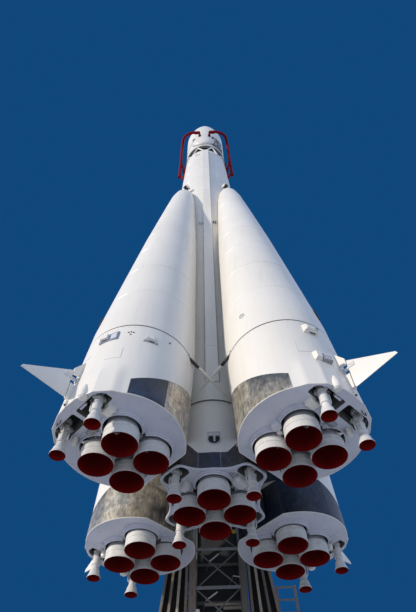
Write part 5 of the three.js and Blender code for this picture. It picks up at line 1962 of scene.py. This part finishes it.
def side_frames(shaft, levels):
    """Crossbars and zigzag diagonals between the front and rear posts."""
    near, far = FRONT_Y + POST_HALF, REAR_Y - POST_HALF
    for name, x in (("left", -POST_X), ("right", POST_X)):
        frame_bars = []
        for i, (high, low) in enumerate(zip(levels, levels[1:])):
            near_z, far_z = (low, high) if i % 2 else (high, low)
            frame_bars.append(([(x, near, high), (x, far, high)], False))
            frame_bars.append(([(x, near, near_z), (x, far, far_z)], False))
        frame_bars.append(([(x, near, levels[-1]), (x, far, levels[-1])], False))
        obj = bars(f"{shaft}_{name}", frame_bars, 0.045, "pylon", 6)
        settle(obj, "pylon_steel", ROOT, f"pylon_{shaft}_{name}")


def side_beam(name, side):
    """Raking beam with four upright ribs, and the stubs that join it to the mast."""
    beam = Shape()
    raking_plate(beam, side, BEAM_INNER, BEAM_OUTER, (4.1, 4.25), "sheet")
    for i, finish in enumerate(BEAM_RIBS[side]):
        middle = [a + 0.04 + (b - a - 0.08) * i / 3 for a, b in zip(BEAM_INNER, BEAM_OUTER)]
        for half, ys, look in ((0.035, (3.88, 3.9), finish), (0.012, (3.89, 4.12), "rust")):
            raking_plate(beam, side, [m - half for m in middle], [m + half for m in middle], ys, look)
    for z in BEAM_STUBS:
        share = (BEAM_TOP - z) / (BEAM_TOP - BEAM_FOOT)
        edge = BEAM_INNER[0] + (BEAM_INNER[1] - BEAM_INNER[0]) * share + 0.05
        x = sorted((side * (POST_X + POST_HALF + SEAT), side * edge))
        beam.box(x, (4.05, 4.25), (z - 0.1, z + 0.1), "pylon")
    settle(beam.build(f"side_beam_{name}", bevel=0.006), "pylon_steel", ROOT, f"pylon_side_beam_{name}")


def cradle(name, half):
    """Arm of I-section from the boom to the core, with a shoe that follows the core's skin."""
    low = HOLDS[name]
    high = low + HOLD_HEIGHT
    rear = FRONT_Y - POST_HALF - SEAT
    skin = max(interpolate(CORE_PROFILE, z) for z in (low, high)) + 0.002
    arm = Shape()
    for z0, z1 in ((low, low + 0.035), (high - 0.035, high)):
        arm.box((-half, half), (skin + 0.02, rear), (z0, z1), "pylon")
    arm.box((-0.025, 0.025), (skin + 0.02, rear), (low + 0.02, high - 0.02), "pylon")
    for y in (skin + 0.5, (skin + rear) / 2, rear - 0.3):
        arm.box((-half + 0.03, half - 0.03), (y - 0.012, y + 0.012), (low + 0.02, high - 0.02), "pylon")
    arm.box((-half, half), (rear - 0.03, rear), (low, high), "pylon")
    if name == "top":
        node_name = "pylon_saddle"
        reach = pi / 2 - 0.09
    else:
        node_name = f"pylon_cradle_{name}"
        reach = math.asin(half / skin)
    shoe(arm, low, high, skin, reach)
    settle(arm.build(f"hold_{name}", bevel=0.006), "pylon_steel", ROOT, node_name)


def shoe(shape, low, high, skin, reach):
    """Strap, flanges and web that follow the core's skin."""
    # Columns: depth off the skin, lower edge, upper edge, finish
    layers = [
        (0.05, low + 0.01, high - 0.01, "strap"), (0.2, low, low + 0.05, "pylon"),
        (0.2, high - 0.05, high, "pylon"), (0.1, low + 0.02, high - 0.02, "pylon"),
    ]
    for depth, z0, z1, finish in layers:
        inner = skin + 0.04 * (finish == "pylon")
        outer = skin + depth
        rows = []
        for i in range(41):
            a = pi / 2 + reach * (i / 20 - 1)
            section = ((inner, z0), (outer, z0), (outer, z1), (inner, z1))
            rows.append([polar(a, radius, z) for radius, z in section])
        shape.loft(rows, finish)


def ladder():
    left, right = LADDER_SIDES
    y = LADDER_Y
    rails = Shape()
    for x in LADDER_SIDES:
        rails.box((x - 0.03, x + 0.03), (y - 0.028, y + 0.028), (SLAB_TOP + SEAT, LADDER_TOP), "rust")
    settle(rails.build("ladder_rails", bevel=0.006), "pylon_steel", ROOT, "pylon_ladder")
    heights = [LADDER_TOP - 0.04 - RUNG_STEP * i for i in range(RUNG_COUNT)]
    rungs = [([(left, y, z), (right, y, z)], False) for z in heights]
    settle(bars("ladder_rungs", rungs, 0.022, "rust", 10), "pylon_steel")


def odds():
    """Pipes, planks and clips that are seen in and beside the mast."""
    odds = Shape()
    y = 4.3
    for x0, z0, x1, z1, r in MAST_PIPES:
        odds.tube([(x0, y, z0), (x1, y, z1)], r, "white", 10)
        odds.tube([(x0, y, z0), (x0 - 0.1, y + 0.4, z0 - 0.05)], 0.012, "pylon", 8)
    for x0, x1, z0, z1 in ((-0.37, 0.6, 0.26, 0.31), (0.12, 0.6, 0.16, 0.22)):
        odds.box((x0, x1), (y, y + 0.06), (z0, z1), "cream")
    odds.tube(LOOSE_PIPE, 0.016, "cream", 8)
    odds.box((0.46, 0.56), (3.88, 3.93), (2.07, 2.16), "yellow")
    odds.box((-0.6, -0.5), (3.84, 3.9), (-0.12, -0.05), "white")
    settle(odds.build("mast_odds", bevel=0.004), "pylon_steel")


class ROCKET_OT_pylon(RocketOperator):
    """Makes the pylon: slab, lattice frames, cradles and saddle, side beams with ribs, and the ladder"""

    bl_idname = "rocket.pylon"
    bl_label = "Pylon"

    def make(self, sizes, colours):
        slab = Shape().box((-5, 5), (-5, 5), (FLOOR, SLAB_TOP), "slab")
        settle(slab.build("slab", bevel=0.03), "slab_grey", ROOT, "pylon_slab")
        levels = [MAST_TOP - POST_HALF - MAST_STEP * i for i in range(MAST_LEVELS)]
        lattice("mast", (SLAB_TOP + SEAT, MAST_TOP), levels, 0.055, True)
        step = (BOOM_TOP - MAST_TOP - POST) / BOOM_BAYS
        levels = [MAST_TOP + POST_HALF + step * i for i in range(BOOM_BAYS + 1)]
        lattice("boom", (MAST_TOP + SEAT, BOOM_TOP), levels, 0.05, False)
        for name, side in (("left", -1), ("right", 1)):
            side_beam(name, side)
        cradle("low", 0.22)
        cradle("middle", 0.22)
        cradle("top", 0.3)
        ladder()
        odds()


OPERATORS = [
    ROCKET_OT_finishes, ROCKET_OT_stage, ROCKET_OT_booster_tails, ROCKET_OT_booster_bodies, ROCKET_OT_engines,
    ROCKET_OT_steering, ROCKET_OT_rudders, ROCKET_OT_core_tail, ROCKET_OT_core_tanks, ROCKET_OT_ties,
    ROCKET_OT_upper_part, ROCKET_OT_arms, ROCKET_OT_pylon,
]


class ROCKET_PT_panel(bpy.types.Panel):
    """Lists the rocket's operators with its sizes and colours."""

    bl_idname = "ROCKET_PT_panel"
    bl_label = "Space rocket"
    bl_space_type = "VIEW_3D"
    bl_region_type = "UI"
    bl_category = "Rocket"

    def draw(self, context):
        for operator in OPERATORS:
            self.layout.operator(operator.bl_idname)
        for group in (context.scene.rocket_sizes, context.scene.rocket_colours):
            for name in group.bl_rna.properties.keys():
                if name not in ("rna_type", "name"):
                    self.layout.prop(group, name)


CLASSES = [RocketColours, RocketSizes, *OPERATORS, ROCKET_PT_panel]


def register():
    for cls in CLASSES:
        bpy.utils.register_class(cls)
    bpy.types.Scene.rocket_sizes = bpy.props.PointerProperty(type=RocketSizes)
    bpy.types.Scene.rocket_colours = bpy.props.PointerProperty(type=RocketColours)


def unregister():
    del bpy.types.Scene.rocket_sizes
    del bpy.types.Scene.rocket_colours
    for cls in reversed(CLASSES):
        bpy.utils.unregister_class(cls)


def main():
    register()
    for operator in OPERATORS:
        getattr(bpy.ops.rocket, operator.bl_idname.split(".")[1])()


if __name__ == "__main__":
    main()
